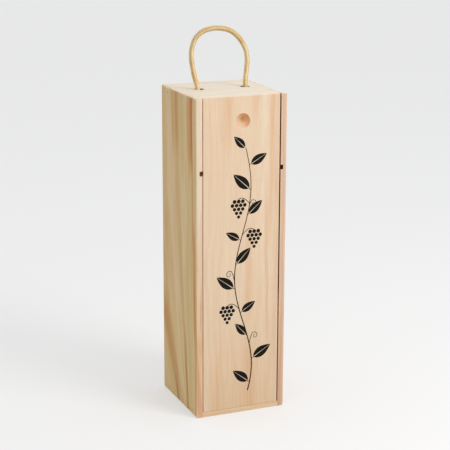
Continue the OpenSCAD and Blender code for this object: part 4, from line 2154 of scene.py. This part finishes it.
RIGHT_PINE = PineFinish(
    "right side pine", early=colour_of(232, 199, 167), late=colour_of(212, 162, 120),
    shade=colour_of(225, 190, 156), pith=(140.0, -20.0), ring_gap=3.6, ring_strength=0.4,
    wander=16.0, seed=23.0, end=SAWN,
    streaks=(
        *streaks_on(BoardFace.FRONT, (
            (colour_of(214, 173, 150), 0.75, (48, -30, 2.6), (49, 380, 2.8), 14),
            (colour_of(208, 168, 140), 0.8, (47.4, -60, 3.4), (47.6, 100, 2.6), 60),
            (BROWN, 0.35, (46.2, -60, 1.3), (46.0, 120, 1.0), 60),
        )),
        Streak(colour_of(238, 208, 184), 0.7, (51.4, -51.5, -60), (51.2, -51.5, 380), (1.8, 3),
               (3.2, 3), 60),
        *streaks_on(BoardFace.RIGHT, (
            (ORANGE, 0.55, (12, -20, 7.0), (20, 380, 10.0), 14),
            (BROWN, 0.45, (-24, -20, 4.0), (-16, 300, 6.0), 14),
        )),
    ),
    # Painted shade in the gap beside the lid: dark brown high up, lighter brown below about 130
    # mm.
    gap=PaintedGapLightAndShade(colour_of(88, 46, 28), 0.95, 44.5, -47.1, colour_of(164, 114, 88)),
    # Painted shade on the walls of the dado slot.
    cuts=PaintedCutShade(colour_of(112, 54, 38), (268.9, 273.7, 47.5)))

BACK_PINE = PineFinish(
    "back pine", early=colour_of(236, 210, 172), late=colour_of(212, 166, 114),
    shade=colour_of(228, 200, 156), pith=(12.0, 112.0), ring_gap=3.4, ring_strength=0.5,
    wander=22.0, seed=37.0, end=SAWN,
    streaks=(
        *streaks_on(BoardFace.BACK, (
            (PALE_ORANGE, 0.6, (-14, -20, 8), (-20, 380, 12), 14),
            (ORANGE, 0.5, (26, 60, 4), (30, 380, 7), 14),
        )),
    ))

TOP_PINE = PineFinish(
    "top pine", early=colour_of(237, 227, 211), late=colour_of(222, 202, 176),
    shade=colour_of(233, 220, 201), pith=(-265.0, 22.0), ring_gap=5.0, ring_strength=0.42,
    wander=12.0, seed=41.0, axis=GrainAxis.SIDEWAYS,
    # Painted shade on the walls of the two rope holes.
    cuts=PaintedCutShade(colour_of(110, 60, 46), bores=((-25.5, 6.0), (27.5, 6.0))))

BOTTOM_PINE = PineFinish(
    "bottom pine", early=colour_of(235, 206, 168), late=colour_of(216, 174, 130),
    shade=colour_of(229, 197, 156), pith=(70.0, -20.0), ring_gap=3.8, ring_strength=0.35,
    wander=12.0, seed=53.0, axis=GrainAxis.SIDEWAYS)

LID_PINE = PineFinish(
    "lid pine", early=colour_of(238, 214, 186), late=colour_of(218, 178, 138),
    shade=colour_of(231, 202, 168), pith=(6.0, 40.0), ring_gap=3.0, ring_strength=0.21,
    wander=14.0, seed=3.0, end=SAWN,
    streaks=(
        # Painted shade: a broad darker tint over the lid, darker towards the bottom and gone by
        # about 220 mm up.
        Streak(colour_of(220, 183, 140), 0.75, (0, -51, -300), (0, -51, 70), (70, 60), (70, 60),
               150),
        *streaks_on(BoardFace.FRONT, (
            (PALE_ORANGE, 0.42, (-17, 300, 7), (-15, 380, 9), 24),
            (PALE_ORANGE, 0.5, (15, 330, 5), (17, 380, 7), 20),
            (PALE_ORANGE, 0.58, (33, 200, 3), (35, 380, 4), 30),
            (CREAM, 0.6, (25, 296, 4), (26, 380, 4), 24),
            (ORANGE, 0.42, (31, 86, 2.6), (28, 244, 2.4), 24),
            (PALE_ORANGE, 0.5, (8, 116, 5), (10, 202, 5), 24),
            (ORANGE, 0.34, (9, -20, 11), (7, 80, 7), 24),
            (PALE_ORANGE, 0.35, (-30, -20, 5), (-27, 60, 4), 24),
            (PINK_TAN, 0.55, (40, -20, 4), (40, 380, 4), 14),
        )),
    ),
    # Painted light on the lid's edge walls, lifting the shade in the gap beside the lips.
    gap=PaintedGapLightAndShade(PAINTED_GAP_LIGHT, 0.9, 43.4, -46.9),
    # Painted shade on the lid's tongues at the dado's height, where they show through the slot.
    cuts=PaintedCutShade(colour_of(185, 112, 82), (268.9, 273.7, 47.5), inner=43.35))

PLYWOOD = PlywoodFinish(colour_of(226, 194, 148), colour_of(196, 154, 106),
                        colour_of(168, 122, 78), SCORCH, 4.5)
YARN = CordFinish(colour_of(255, 240, 192), colour_of(247, 213, 150), colour_of(152, 102, 50),
                  colour_of(194, 154, 98))
STEEL = SteelFinish("brad steel", colour_of(150, 128, 104), colour_of(128, 92, 60))
BRASSED = SteelFinish("brassed brad steel", colour_of(226, 196, 150), colour_of(214, 178, 130))
INK = InkFinish(colour_of(13, 11, 10), colour_of(40, 32, 26))


def main() -> None:
    """Builds the box piece by piece."""
    logging.basicConfig(level=logging.INFO, format="%(name)s: %(message)s")
    for left_over in list(bpy.data.objects):
        bpy.data.objects.remove(left_over)
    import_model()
    bpy.context.scene.view_settings.view_transform = "Standard"
    studio = Studio()
    studio.place_camera()
    braider, repeater = Braider(), Repeater()
    RopeHandle().build(braider, YARN.build())
    studio.light()
    studio.lay_floor()
    effects, sizes = WoodEffects(), BoxSizes()
    Carcass(sizes, effects, LEFT_PINE, RIGHT_PINE, BACK_PINE, TOP_PINE, BOTTOM_PINE,
            PLYWOOD).build()
    SlidingLid(sizes, effects, LID_PINE, ThumbDish()).build()
    VinePrint().build(repeater, INK.build(effects))
    Brads(sizes).build(repeater, STEEL.build(), BRASSED.build())


if __name__ == "__main__":
    main()
